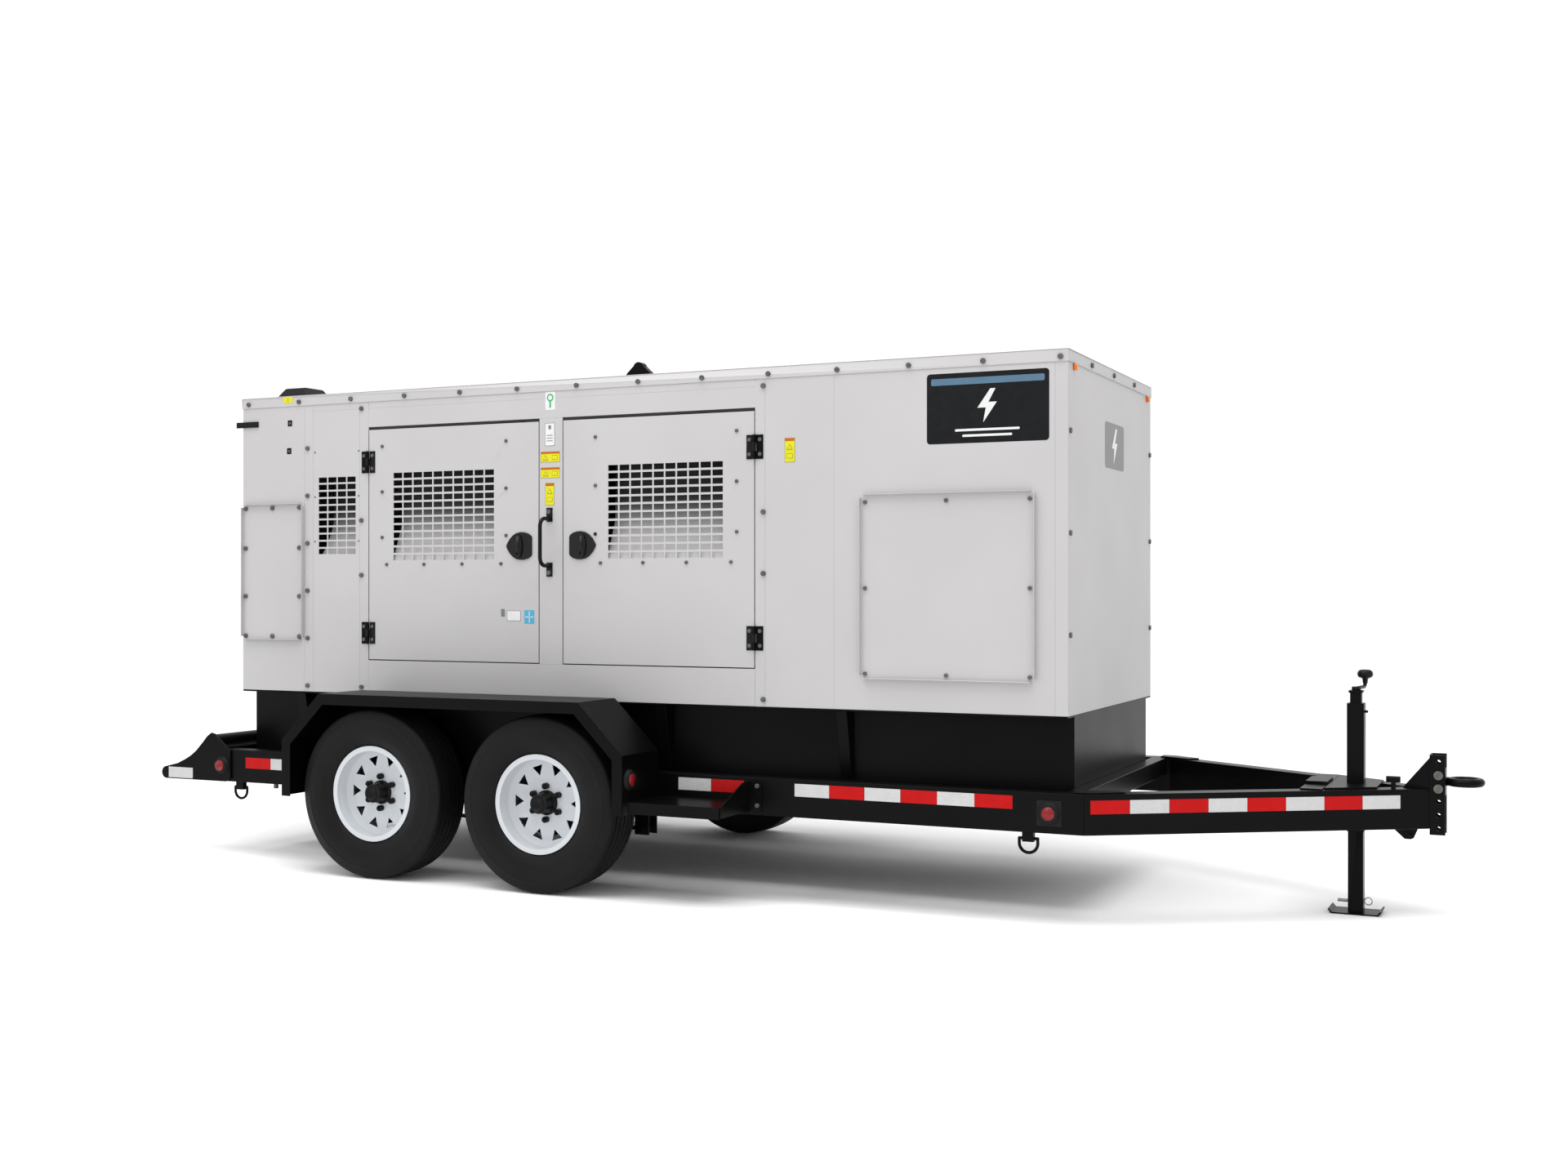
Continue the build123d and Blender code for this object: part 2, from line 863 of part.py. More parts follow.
def fender_outline():
    return [
        (fender_rear_x, fender_rear_bottom),
        (fender_rear_x, fender_shoulder_z),
        (fender_rear_x + fender_slant, fender_top_z),
        (fender_front_x - fender_slant, fender_top_z),
        (fender_front_x, fender_shoulder_z),
        (fender_front_x, fender_front_bottom),
    ]


def inset_outline(points, depth):
    """The open outline moved inwards by a depth, with its corners mitred."""
    lines = []
    for (x0, z0), (x1, z1) in zip(points, points[1:]):
        length = math.hypot(x1 - x0, z1 - z0)
        nx = (z1 - z0) / length * depth
        nz = -(x1 - x0) / length * depth
        lines.append(((x0 + nx, z0 + nz), (x1 + nx, z1 + nz)))
    moved = [lines[0][0]]
    for (a, b), (c, d) in zip(lines, lines[1:]):
        moved.append(meeting_point(a, b, c, d))
    moved.append(lines[-1][1])
    return moved


def meeting_point(a, b, c, d):
    """Where the line a-b meets the line c-d."""
    r = (b[0] - a[0], b[1] - a[1])
    s = (d[0] - c[0], d[1] - c[1])
    cross = r[0] * s[1] - r[1] * s[0]
    t = ((c[0] - a[0]) * s[1] - (c[1] - a[1]) * s[0]) / cross
    return (a[0] + r[0] * t, a[1] + r[1] * t)


def near_fender():
    """Folded fender panels: five across the top, five skirt strips, and the inner wall."""
    outer = fender_outline()
    inner = inset_outline(outer, fender_sheet)
    band = inset_outline(outer, fender_skirt)
    found = []
    for i in range(len(outer) - 1):
        strip = [outer[i], outer[i + 1], inner[i + 1], inner[i]]
        found.append(outline_xz(strip, -fender_half_span + fender_sheet, -rail_half_span))
    for i in range(len(outer) - 1):
        strip = [outer[i], outer[i + 1], band[i + 1], band[i]]
        found.append(outline_xz(strip, -fender_half_span, -fender_half_span + fender_sheet))
    wall = [inner[0], *inner[1:-1], inner[-1]]
    found.append(outline_xz(wall, -rail_half_span - fender_sheet, -rail_half_span))
    return found


def side_step():
    """Step tread with a turned-down edge and its two bolt-on end brackets."""
    tread = block(
        step_rear_x, step_front_x, -step_half_span, -rail_half_span, step_top_z - 4, step_top_z
    )
    skirt = block(
        step_rear_x,
        step_front_x,
        -step_half_span,
        -step_half_span + 4,
        step_top_z - step_skirt,
        step_top_z - 4,
    )
    found = [tread + skirt]
    bracket = outline_yz(
        [
            (-rail_half_span, 363),
            (-rail_half_span, 483),
            (-rail_half_span - 70, 483),
            (-step_half_span + 6, step_top_z),
            (-step_half_span + 6, 363),
        ],
        step_front_x,
        step_front_x + 6,
    )
    flange = block(
        step_front_x + 6, step_front_x + 56, -rail_half_span - 5, -rail_half_span, 363, 484
    )
    found.append(bracket + flange)
    return found


def ring_axis_z():
    return rail_bottom - ring_axis_drop


def tie_down_bracket(x):
    z = ring_axis_z()
    body = block(x - 22, x + 22, -ring_y - 12, -ring_y + 12, z - 12, rail_bottom)
    return body - rod("x", x - 23, x + 23, -ring_y, z, ring_bar_radius + running_gap)


def tie_down_ring(x):
    """D-shaped ring whose straight bar turns in its bracket."""
    z = ring_axis_z()
    bar = rod("x", x - ring_half_width, x + ring_half_width, -ring_y, z, ring_bar_radius)
    for side in (-1, 1):
        edge = x + side * ring_half_width
        bar += rod("z", z - ring_leg, z, edge, -ring_y, ring_bar_radius)
        bar += Pos(edge, -ring_y, z) * Sphere(ring_bar_radius)
    bow = Pos(x, -ring_y, z - ring_leg) * Rot(90, 0, 0) * Torus(ring_half_width, ring_bar_radius)
    keep = block(x - 60, x + 60, -ring_y - 20, -ring_y + 20, z - ring_leg - 60, z - ring_leg)
    return bar + (bow & keep)


# ------------------------------------------------------------------ canopy


def base_tank():
    """Fuel tank under the machine, with side ribs and the lip the canopy stands on."""
    low = tank_bottom
    high = canopy_bottom - tank_lip
    body = block(canopy_rear_x, canopy_front_x, -tank_half_width, tank_half_width, low, high)
    wall = tank_wall
    body -= block(
        canopy_rear_x + wall,
        canopy_front_x - wall,
        -tank_half_width + wall,
        tank_half_width - wall,
        low + wall,
        high - wall,
    )
    lip = block(
        canopy_rear_x, canopy_front_x, -canopy_half_width, canopy_half_width, high, canopy_bottom
    )
    return body + lip


def tank_ribs():
    """Upright gussets that carry the lip."""
    found = []
    for x in (-2180.0, -245.0, 585.0):
        rib = outline_yz(
            [
                (-tank_half_width, rail_top),
                (-tank_half_width, canopy_bottom - tank_lip),
                (-canopy_half_width + 6, canopy_bottom - tank_lip),
                (-tank_half_width - 30, rail_top),
            ],
            x - 24,
            x + 24,
        )
        found.append(rib)
    return both(found)


def perforated(x0, x1, z0, z1, holes, thickness_from, thickness_to):
    """Flat sheet in the side view with rectangular holes given as corner pairs."""
    outer = Wire.make_polygon([(x0, 0, z0), (x1, 0, z0), (x1, 0, z1), (x0, 0, z1)], close=True)
    inner = []
    for a, b, c, d in holes:
        inner.append(Wire.make_polygon([(a, 0, c), (b, 0, c), (b, 0, d), (a, 0, d)], close=True))
    face = Face(outer, inner)
    slab = extrude(face, thickness_to - thickness_from, dir=(0, 1, 0))
    return Pos(0, thickness_from, 0) * slab


def grille_holes(x0, x1, z0, z1, columns, rows):
    """Corner pairs of the ventilation holes filling a window."""
    pitch_x = (x1 - x0 - grille_cell_width) / (columns - 1)
    pitch_z = (z1 - z0 - grille_cell_height) / (rows - 1)
    found = []
    for column in range(columns):
        for row in range(rows):
            a = x0 + pitch_x * column
            c = z0 + pitch_z * row
            found.append((a, a + grille_cell_width, c, c + grille_cell_height))
    return found


def near_wall():
    """Canopy side: panels round the two door openings, with frame tubes behind them."""
    outer = -canopy_half_width
    inner = outer + canopy_sheet
    top = roof_top - canopy_sheet
    left = rear_door_edges[0] - panel_gap
    right = front_door_edges[1] + panel_gap
    post0 = rear_door_edges[1] + panel_gap
    post1 = front_door_edges[0] - panel_gap
    sill = door_bottom - panel_gap
    head = door_top + door_head_gap
    vent = grille_holes(
        *small_grille_edges,
        small_grille_bottom,
        small_grille_top,
        small_grille_columns,
        small_grille_rows,
    )
    found = [perforated(canopy_rear_x, left, canopy_bottom, top, vent, outer, inner)]
    found.append(block(left, right, outer, inner, head, top))
    found.append(block(left, right, outer, inner, canopy_bottom, sill))
    found.append(block(right, canopy_front_x, outer, inner, canopy_bottom, top))
    back = inner + frame_tube_depth
    found.append(block(post0, post1, outer, back, sill, head))
    width = frame_tube_width
    found.append(block(left - width, left, inner, back, canopy_bottom, top))
    found.append(block(right, right + width, inner, back, canopy_bottom, top))
    found.append(block(left, right, inner, back, head, head + width))
    found.append(block(left, right, inner, back, sill - width, sill))
    return found


def front_wall():
    """Front panel of the canopy."""
    half = canopy_half_width - canopy_sheet
    top = roof_top - canopy_sheet
    return block(canopy_front_x - canopy_sheet, canopy_front_x, -half, half, canopy_bottom, top)


def rear_frame():
    """Surround of the rear door and the two fixed arms that carry its hinge pins."""
    half = canopy_half_width - canopy_sheet
    top = roof_top - canopy_sheet
    x1 = canopy_rear_x + canopy_sheet
    found = []
    for side in (-1, 1):
        y0, y1 = sorted((side * half, side * rear_opening_half))
        found.append(block(canopy_rear_x, x1, y0, y1, canopy_bottom, top))
    low = rear_door_bottom - panel_gap
    high = rear_door_top + panel_gap
    found.append(block(canopy_rear_x, x1, -rear_opening_half, rear_opening_half, high, top))
    found.append(block(canopy_rear_x, x1, -rear_opening_half, rear_opening_half, canopy_bottom, low))
    arm = block(rear_hinge_x - 18, -2434, -canopy_half_width - 8, -canopy_half_width, 2031, 2058)
    arm += rod("y", -canopy_half_width, -rear_opening_half + 30, rear_hinge_x, rear_hinge_z, rear_hinge_pin)
    found += both([arm])
    return found


def rear_door():
    """Top-hinged rear door: skin, folded edges, hinge ears and a pull handle."""
    half = rear_opening_half - panel_gap
    x0 = canopy_rear_x
    x1 = canopy_rear_x + canopy_sheet
    depth = x0 + door_depth
    skin = block(x0, x1, -half, half, rear_door_bottom, rear_door_top)
    rim = block(x1, depth, -half, half, rear_door_bottom, rear_door_top)
    rim -= block(
        x1, depth, -half + 3, half - 3, rear_door_bottom + 3, rear_door_top - 3
    )
    body = skin + rim
    for side in (-1, 1):
        y0, y1 = sorted((side * (half - 20), side * (half - 6)))
        body += block(rear_hinge_x - 12, x0, y0, y1, rear_hinge_z - 14, rear_hinge_z + 14)
        body -= rod("y", y0 - 1, y1 + 1, rear_hinge_x, rear_hinge_z, rear_hinge_pin + running_gap)
    grip = rod("y", -70, 70, x0 - 22, rear_door_bottom + 90, 6)
    for side in (-1, 1):
        grip += rod("x", x0 - 22, x0, side * 64, rear_door_bottom + 90, 6)
    return body + grip


def roof():
    """Roof sheet with a turned-down skirt on all four sides."""
    x0 = canopy_rear_x - skirt_overhang
    x1 = canopy_front_x + skirt_overhang
    half = canopy_half_width + skirt_overhang
    found = [block(x0, x1, -half, half, roof_top - canopy_sheet, roof_top)]
    low = skirt_bottom
    high = roof_top - canopy_sheet
    for side in (-1, 1):
        y0, y1 = sorted((side * half, side * (half - canopy_sheet)))
        found.append(block(x0, x1, y0, y1, low, high))
    inner = half - canopy_sheet
    found.append(block(x0, x0 + canopy_sheet, -inner, inner, low, high))
    found.append(block(x1 - canopy_sheet, x1, -inner, inner, low, high))
    return found


def hinge_parts(edge_x, outward, z):
    """One door hinge on the near side: the wall leaf with its pin, and the door leaf.

    The wall is on the side of the hinge given by outward (-1 towards the rear, +1 the front).
    """
    axis_x = edge_x + outward * hinge_axis_gap
    axis_y = -canopy_half_width - hinge_axis_stand_off
    face = -canopy_half_width
    third = hinge_height / 3
    low = z - hinge_height / 2
    gap = hinge_knuckle_gap
    wall = None
    for k in (0, 2):
        z0 = low + third * k + (gap if k else 0)
        z1 = low + third * (k + 1) - (0 if k else gap)
        piece = rod("z", z0, z1, axis_x, axis_y, hinge_barrel_radius)
        lug0, lug1 = sorted((axis_x, axis_x + outward * 14))
        piece += block(lug0, lug1, face - hinge_leaf_thickness - 2, face - hinge_leaf_thickness, z0, z1)
        wall = piece if wall is None else wall + piece
    leaf0, leaf1 = sorted((axis_x + outward * 8, axis_x + outward * hinge_leaf_width))
    wall += block(
        leaf0, leaf1, face - hinge_leaf_thickness, face, low, low + hinge_height
    )
    for k in (0, 2):
        z0 = low + third * k + (gap if k else 0)
        z1 = low + third * (k + 1) - (0 if k else gap)
        lug0, lug1 = sorted((axis_x + outward * 8, axis_x + outward * 14))
        wall += block(lug0, lug1, face - hinge_leaf_thickness - 2, face, z0, z1)
    wall += rod("z", low, low + hinge_height, axis_x, axis_y, hinge_pin_radius)
    for dz in (-30, 30):
        wall += rod("y", face - 7, face - 3, axis_x + outward * 24, z + dz, 8)
    door = rod("z", low + third, low + 2 * third, axis_x, axis_y, hinge_barrel_radius)
    lug0, lug1 = sorted((axis_x, axis_x - outward * 14))
    door += block(
        lug0, lug1, face - hinge_leaf_thickness - 2, face - hinge_leaf_thickness, low + third,
        low + 2 * third
    )
    leaf0, leaf1 = sorted((axis_x - outward * 9, axis_x - outward * hinge_leaf_width))
    door += block(
        leaf0, leaf1, face - hinge_leaf_thickness, face, low, low + hinge_height
    )
    door -= rod("z", low, low + hinge_height, axis_x, axis_y, hinge_pin_radius + running_gap)
    for dz in (-30, 30):
        door += rod("y", face - 7, face - 3, axis_x - outward * 24, z + dz, 8)
    return wall, door


def door_sides(edges, outward):
    """Hinge edge and free edge of a door; outward points from the door to its hinge side."""
    return (edges[0], edges[1]) if outward < 0 else (edges[1], edges[0])


def latch_x(edges, outward):
    free = door_sides(edges, outward)[1]
    return free + outward * (33 + latch_inset)


def escutcheon(x, outward):
    """Black plate of the latch: flat towards the post, drawn to a tip towards the hinges."""
    face = -canopy_half_width
    thick = 6.0
    half_width = latch_width / 2
    half_height = latch_height / 2
    shape = (
        (1.00, 0.60), (0.93, 0.74), (0.70, 0.90), (0.40, 0.985), (0.10, 1.00), (-0.22, 0.93),
        (-0.50, 0.76), (-0.74, 0.51), (-0.92, 0.22), (-1.00, 0.05),
    )
    half = [(x - outward * half_width * u, latch_z + half_height * v) for u, v in shape]
    lower = [(px, 2 * latch_z - pz) for px, pz in reversed(half)]
    body = outline_xz(half + lower, face - thick, face)
    return body - rod("y", face - thick, face, x, latch_z, 20)


def door(edges, outward):
    """Side door on the near side with its grille, baffle, folded edges and hinge leaves."""
    face = -canopy_half_width
    inner = face + canopy_sheet
    middle = (edges[0] + edges[1]) / 2
    hinge_side = door_sides(edges, outward)[0]
    if outward < 0:
        window0 = edges[0] + 138
    else:
        window0 = edges[1] - 144.5 - door_grille_width
    window1 = window0 + door_grille_width
    holes = grille_holes(
        window0, window1, door_grille_bottom, door_grille_top, grille_columns, grille_rows
    )
    skin = perforated(edges[0], edges[1], door_bottom, door_top, holes, face, inner)
    rim = block(edges[0], edges[1], inner, face + door_depth, door_bottom, door_top)
    rim -= block(
        edges[0] + 3, edges[1] - 3, inner, face + door_depth, door_bottom + 3, door_top - 3
    )
    body = skin + rim
    for x in (window0 - 63, window1 + 65):
        for z in evenly(1496.6, 1913.9, 3):
            body += rod("y", face - door_screw_height, face, x, z, door_screw_radius)
    for x in evenly(window0 - 37.3, window1 + 38.3, 4):
        body += rod("y", face - door_screw_height, face, x, door_screw_row_z, door_screw_radius)
    spot = latch_x(edges, outward)
    body -= rod("y", face, inner, spot, latch_z, latch_shaft_radius + running_gap)
    baffle = outline_yz(
        [
            (inner, door_grille_bottom - 14),
            (inner, door_grille_bottom - 10),
            (face + 74, door_grille_bottom + 170),
            (face + 78, door_grille_bottom + 168),
        ],
        window0 - 8,
        window1 + 8,
    )
    baffle += block(
        window0 - 8, window1 + 8, face + 74, face + 78, door_grille_bottom + 168, door_grille_top + 24
    )
    baffle += block(
        window0 - 8, window1 + 8, inner, face + 78, door_grille_top + 20, door_grille_top + 24
    )
    found = [body, baffle, escutcheon(spot, outward)]
    for z in hinge_heights:
        found.append(hinge_parts(hinge_side, outward, z)[1])
    return found


def latch_handle(edges, outward):
    """Turning handle: boss and fin outside, shaft through the skin, cam behind."""
    x = latch_x(edges, outward)
    face = -canopy_half_width
    shaft = rod("y", face - 5, face + 34, x, latch_z, latch_shaft_radius)
    boss = rod("y", face - 5, face - 0.4, x, latch_z, 15)
    cover = Pos(x, face - 8.5, latch_z) * Rot(90, 0, 0) * extrude(Ellipse(19, 51), 3.0)
    cover += rod("y", face - 11.5, face - 0.4, x, latch_z, 17)
    fin = block(x - 5, x + 5, face - 25, face - 8.5, latch_z - 40, latch_z + 40)
    cam = block(x - 12, x + 12, face + 30, face + 34, latch_z - 14, latch_z + latch_cam_length)
    return shaft + boss + cover + fin + cam


def pan_cover(edges, bottom, top):
    """Bolted-on cover with outward lips, notched at its corners."""
    face = -canopy_half_width
    x0, x1 = edges
    sheet = block(x0, x1, face - cover_sheet, face, bottom, top)
    y0 = face - cover_lip
    y1 = face - cover_sheet
    for z0 in (bottom, top - cover_sheet):
        sheet += block(x0 + cover_notch, x1 - cover_notch, y0, y1, z0, z0 + cover_sheet)
    for lip_x in (x0, x1 - cover_sheet):
        sheet += block(lip_x, lip_x + cover_sheet, y0, y1, bottom + cover_notch, top - cover_notch)
    return sheet


def access_covers():
    return both(
        [
            pan_cover(front_cover_edges, front_cover_bottom, front_cover_top),
            pan_cover(rear_cover_edges, rear_cover_bottom, rear_cover_top),
        ]
    )


def hinge_leaves():
    found = []
    for edges, outward in ((rear_door_edges, -1), (front_door_edges, 1)):
        hinge_side = door_sides(edges, outward)[0]
        for z in hinge_heights:
            found.append(hinge_parts(hinge_side, outward, z)[0])
    return both(found)


def grab_handle():
    """Bent round bar with two bolted feet on the centre post."""
    face = -canopy_half_width
    x = (handle_foot_rear_x + handle_foot_front_x) / 2
    out = face - handle_stand_off
    high = handle_top_z - handle_bar_inset
    low = handle_bottom_z + handle_bar_inset
    bend = handle_bend_radius
    path = FilletPolyline(
        (x, face - 2, low), (x, out, low), (x, out, high), (x, face - 2, high), radius=bend
    )
    start = Plane(origin=(x, face - 2, low), z_dir=(0, -1, 0))
    body = sweep(start * Circle(handle_bar_radius), path=path)
    for z in (handle_top_z - handle_foot_height / 2, handle_bottom_z + handle_foot_height / 2):
        body += block(
            handle_foot_rear_x, handle_foot_front_x, face - 5, face, z - handle_foot_height / 2,
            z + handle_foot_height / 2
        )
    for z in (handle_top_z - 17, handle_bottom_z + 17):
        body += rod("y", face - 11, face - 5, x, z, 10)
    return body


def wall_screw(x, z):
    face = -canopy_half_width
    return rod("y", face - screw_height, face, x, z, screw_radius)


def fasteners():
    """Screws of the canopy and roof, and the bolts of the hitch, steps and rails."""
    near = []
    for z in evenly(806.9, 1920, 6):
        near.append(wall_screw(-2135.6, z))
    for x in (-1819.0, 242.0):
        for z in (2093, 1576.5, 1324.2, 807.6):
            near.append(wall_screw(x, z))
    for x in (small_grille_edges[0] - 21.2, small_grille_edges[1] + 18.4):
        for z in evenly(1482.4, 1899.4, 3):
            near.append(rod("y", -canopy_half_width - rivet_height, -canopy_half_width, x, z, rivet_radius))
    cover_face = -canopy_half_width - cover_sheet
    for z, xs in (
        (1605.7, (693, 1034, 1371)),
        (1263.6, (693, 1371)),
        (923.5, (693, 1034, 1371)),
        (1643.4, (-2510, -2346, -2182.6)),
        (1454, (-2510, -2182.6)),
        (1225.5, (-2510, -2182.6)),
        (1036.4, (-2510, -2346, -2182.6)),
    ):
        for x in xs:
            radius = cover_screw_radius if x > 0 else screw_radius
            near.append(rod("y", cover_face - screw_height, cover_face, x, z, radius))
    skirt_face = -canopy_half_width - skirt_overhang
    for x in evenly(-2491, 1491, 14):
        near.append(rod("y", skirt_face - screw_height, skirt_face, x, 2140.6, screw_radius))
    found = both(near)
    front = canopy_front_x
    for side in (-1, 1):
        for z in (1086, 1473.5, 1862):
            y = side * (canopy_half_width - corner_screw_inset)
            found.append(rod("x", front, front + screw_height, y, z, screw_radius))
    for y in (-354, 0, 354):
        skirt = front + skirt_overhang
        found.append(rod("x", skirt, skirt + screw_height, y, 2144, screw_radius))
    side_face = channel_half_width
    for z in lunette_bolt_heights():
        bolt = rod("y", -side_face - 12, side_face + 12, channel_hole_x, z, 17)
        bolt -= rod("y", -side_face, side_face, channel_hole_x, z, 18)
        bolt += rod("y", -side_face - 12, side_face + 12, channel_hole_x, z, channel_hole_radius)
        found.append(bolt)
    bolts = []
    for z in (387, 466):
        bolts.append(
            rod("y", -rail_half_span - 5 - bolt_height, -rail_half_span - 5, step_front_x + 38, z,
                bolt_radius)
        )
    bolts.append(rod("z", rail_bottom - 24, rail_bottom, -2275, -rail_middle_y, 11))
    return found + both(bolts)


def lifting_eye():
    """Central lifting lug with a tapered plate and a round bore."""
    half = lifting_base_width / 2
    tip_z = lifting_top_z - lifting_tip_radius
    points = [
        (lifting_x - half, roof_top),
        (lifting_x + half, roof_top),
        (lifting_x + 61, 2277),
        (lifting_x + lifting_tip_radius, tip_z + 8),
        (lifting_x - lifting_tip_radius, tip_z + 8),
        (lifting_x - 61, 2277),
    ]
    y = lifting_thickness / 2
    body = outline_xz(points, -y, y)
    body += rod("y", -y, y, lifting_x, tip_z, lifting_tip_radius)
    return body - rod("y", -y, y, lifting_x, lifting_bore_z, lifting_bore_radius)


def roof_cover():
    """Low faceted cap over the roof filler."""
    half = roof_cover_width / 2
    base = Plane.XY.offset(roof_top) * Rectangle(roof_cover_width, roof_cover_width)
    top = Plane.XY.offset(roof_top + roof_cover_height) * Rectangle(half * 1.3, half * 1.3)
    return Pos(roof_cover_x, roof_cover_y, 0) * loft([base, top])


def marker_lights():
    found = []
    front = canopy_front_x
    for side in (-1, 1):
        y = side * marker_half_span
        lens = rod("x", front, front + marker_depth, y, marker_z, marker_radius)
        found.append(lens)
    return found


# ------------------------------------------------------------------ machinery


def engine():
    """Diesel engine: block, head, sump, feet, flywheel housing and fan bearing."""
    half = engine_half_width
    low = canopy_bottom
    body = block(engine_rear_x, engine_front_x, -half, half, low + 230, low + 640)
    body += block(engine_rear_x + 30, engine_front_x - 30, -half + 60, half - 60, low + 640, low + 790)
    body += block(engine_rear_x + 80, engine_front_x - 80, -half + 40, half - 40, low + 90, low + 230)
    body += rod("x", engine_rear_x - 120, engine_rear_x, 0, shaft_z, 280)
    for x in (engine_rear_x + 60, engine_front_x - 160):
        for side in (-1, 1):
            y0, y1 = sorted((side * (half - 60), side * (half + 60)))
            body += block(x, x + 100, y0, y1, low, low + 260)
    body += rod("x", engine_front_x, engine_front_x + 30, 0, shaft_z, 70)
    body -= rod("x", engine_front_x - 40, engine_front_x + 31, 0, shaft_z, 20 + running_gap)
    manifold = rod("x", engine_rear_x + 80, engine_front_x - 60, half + 34, low + 560, 40)
    body += manifold
    body -= block(engine_rear_x + 30, engine_front_x - 60, -half + 35, half - 35, low + 260, low + 600)
    turbo = rod("y", half + 34, half + 150, engine_rear_x + 380, low + 620, 70)
    return body + turbo


def alternator():
    """Generator end: round stator on two feet with a terminal box."""
    x1 = engine_rear_x - 120
    body = rod("x", generator_rear_x, x1, 0, shaft_z, generator_radius)
    body -= rod("x", generator_rear_x + 40, x1 - 40, 0, shaft_z, generator_radius - 60)
    body += block(generator_rear_x + 80, x1 - 160, -220, 220, shaft_z + 180, shaft_z + 430)
    for x in (generator_rear_x + 60, x1 - 200):
        for side in (-1, 1):
            y0, y1 = sorted((side * 160, side * 300))
            body += block(x, x + 120, y0, y1, canopy_bottom, shaft_z - 80)
    return body


def radiator():
    """Cooler core in a frame standing on the floor, with side tanks."""
    x0 = radiator_x
    x1 = radiator_x + radiator_depth
    half = radiator_half_width
    body = block(x0, x1, -half, half, canopy_bottom, radiator_top)
    window = block(x0, x0 + 30, -half + 70, half - 70, canopy_bottom + 120, radiator_top - 80)
    return body - window


def silencer():
    """Round silencer across the front bay on two legs, with its pipe stub."""
    body = rod("y", -480, 480, silencer_x, silencer_z, silencer_radius)
    for side in (-1, 1):
        y0, y1 = sorted((side * 300, side * 340))
        body += block(silencer_x - 60, silencer_x + 60, y0, y1, canopy_bottom, silencer_z - 60)
    body += rod("z", silencer_z, silencer_z + 320, silencer_x, 200, 50)
    wall = 3
    body -= rod("y", -480 + wall, 480 - wall, silencer_x, silencer_z, silencer_radius - wall)
    return body - rod("z", silencer_z, silencer_z + 321, silencer_x, 200, 50 - wall)


def control_panel():
    """Control cabinet behind the rear door."""
    x0 = canopy_rear_x + 150
    body = block(x0, x0 + 260, -420, 420, canopy_bottom, 1700)
    body -= block(x0 + 3, x0 + 257, -417, 417, canopy_bottom + 3, 1697)
    body += block(x0 - 12, x0, -180, 180, 1300, 1560)
    for y in evenly(-150, 150, 6):
        body += rod("x", x0 - 20, x0, y, 1220, 14)
    return body


def battery():
    body = block(-2000, -1740, -480, -200, canopy_bottom, canopy_bottom + 230)
    for y in (-430, -250):
        body += rod("z", canopy_bottom + 230, canopy_bottom + 250, -1960, y, 14)
    return body


def cooling_fan():
    """Seven-blade cooling fan on a stub shaft."""
    hub = rod("x", fan_x, fan_x + fan_thickness, 0, shaft_z, 90)
    body = hub + rod("x", engine_front_x - 30, fan_x, 0, shaft_z, 20)
    middle = Pos(fan_x + fan_thickness / 2, 0, shaft_z)
    for index in range(fan_blades):
        body += middle * Rot(360 / fan_blades * index, 0, 0) * blade_shape()
    return body


def blade_shape():
    return Pos(0, 0, (80 + fan_radius) / 2) * Rot(0, 0, 28) * Box(6, 92, fan_radius - 80)


# ------------------------------------------------------------------ write every node


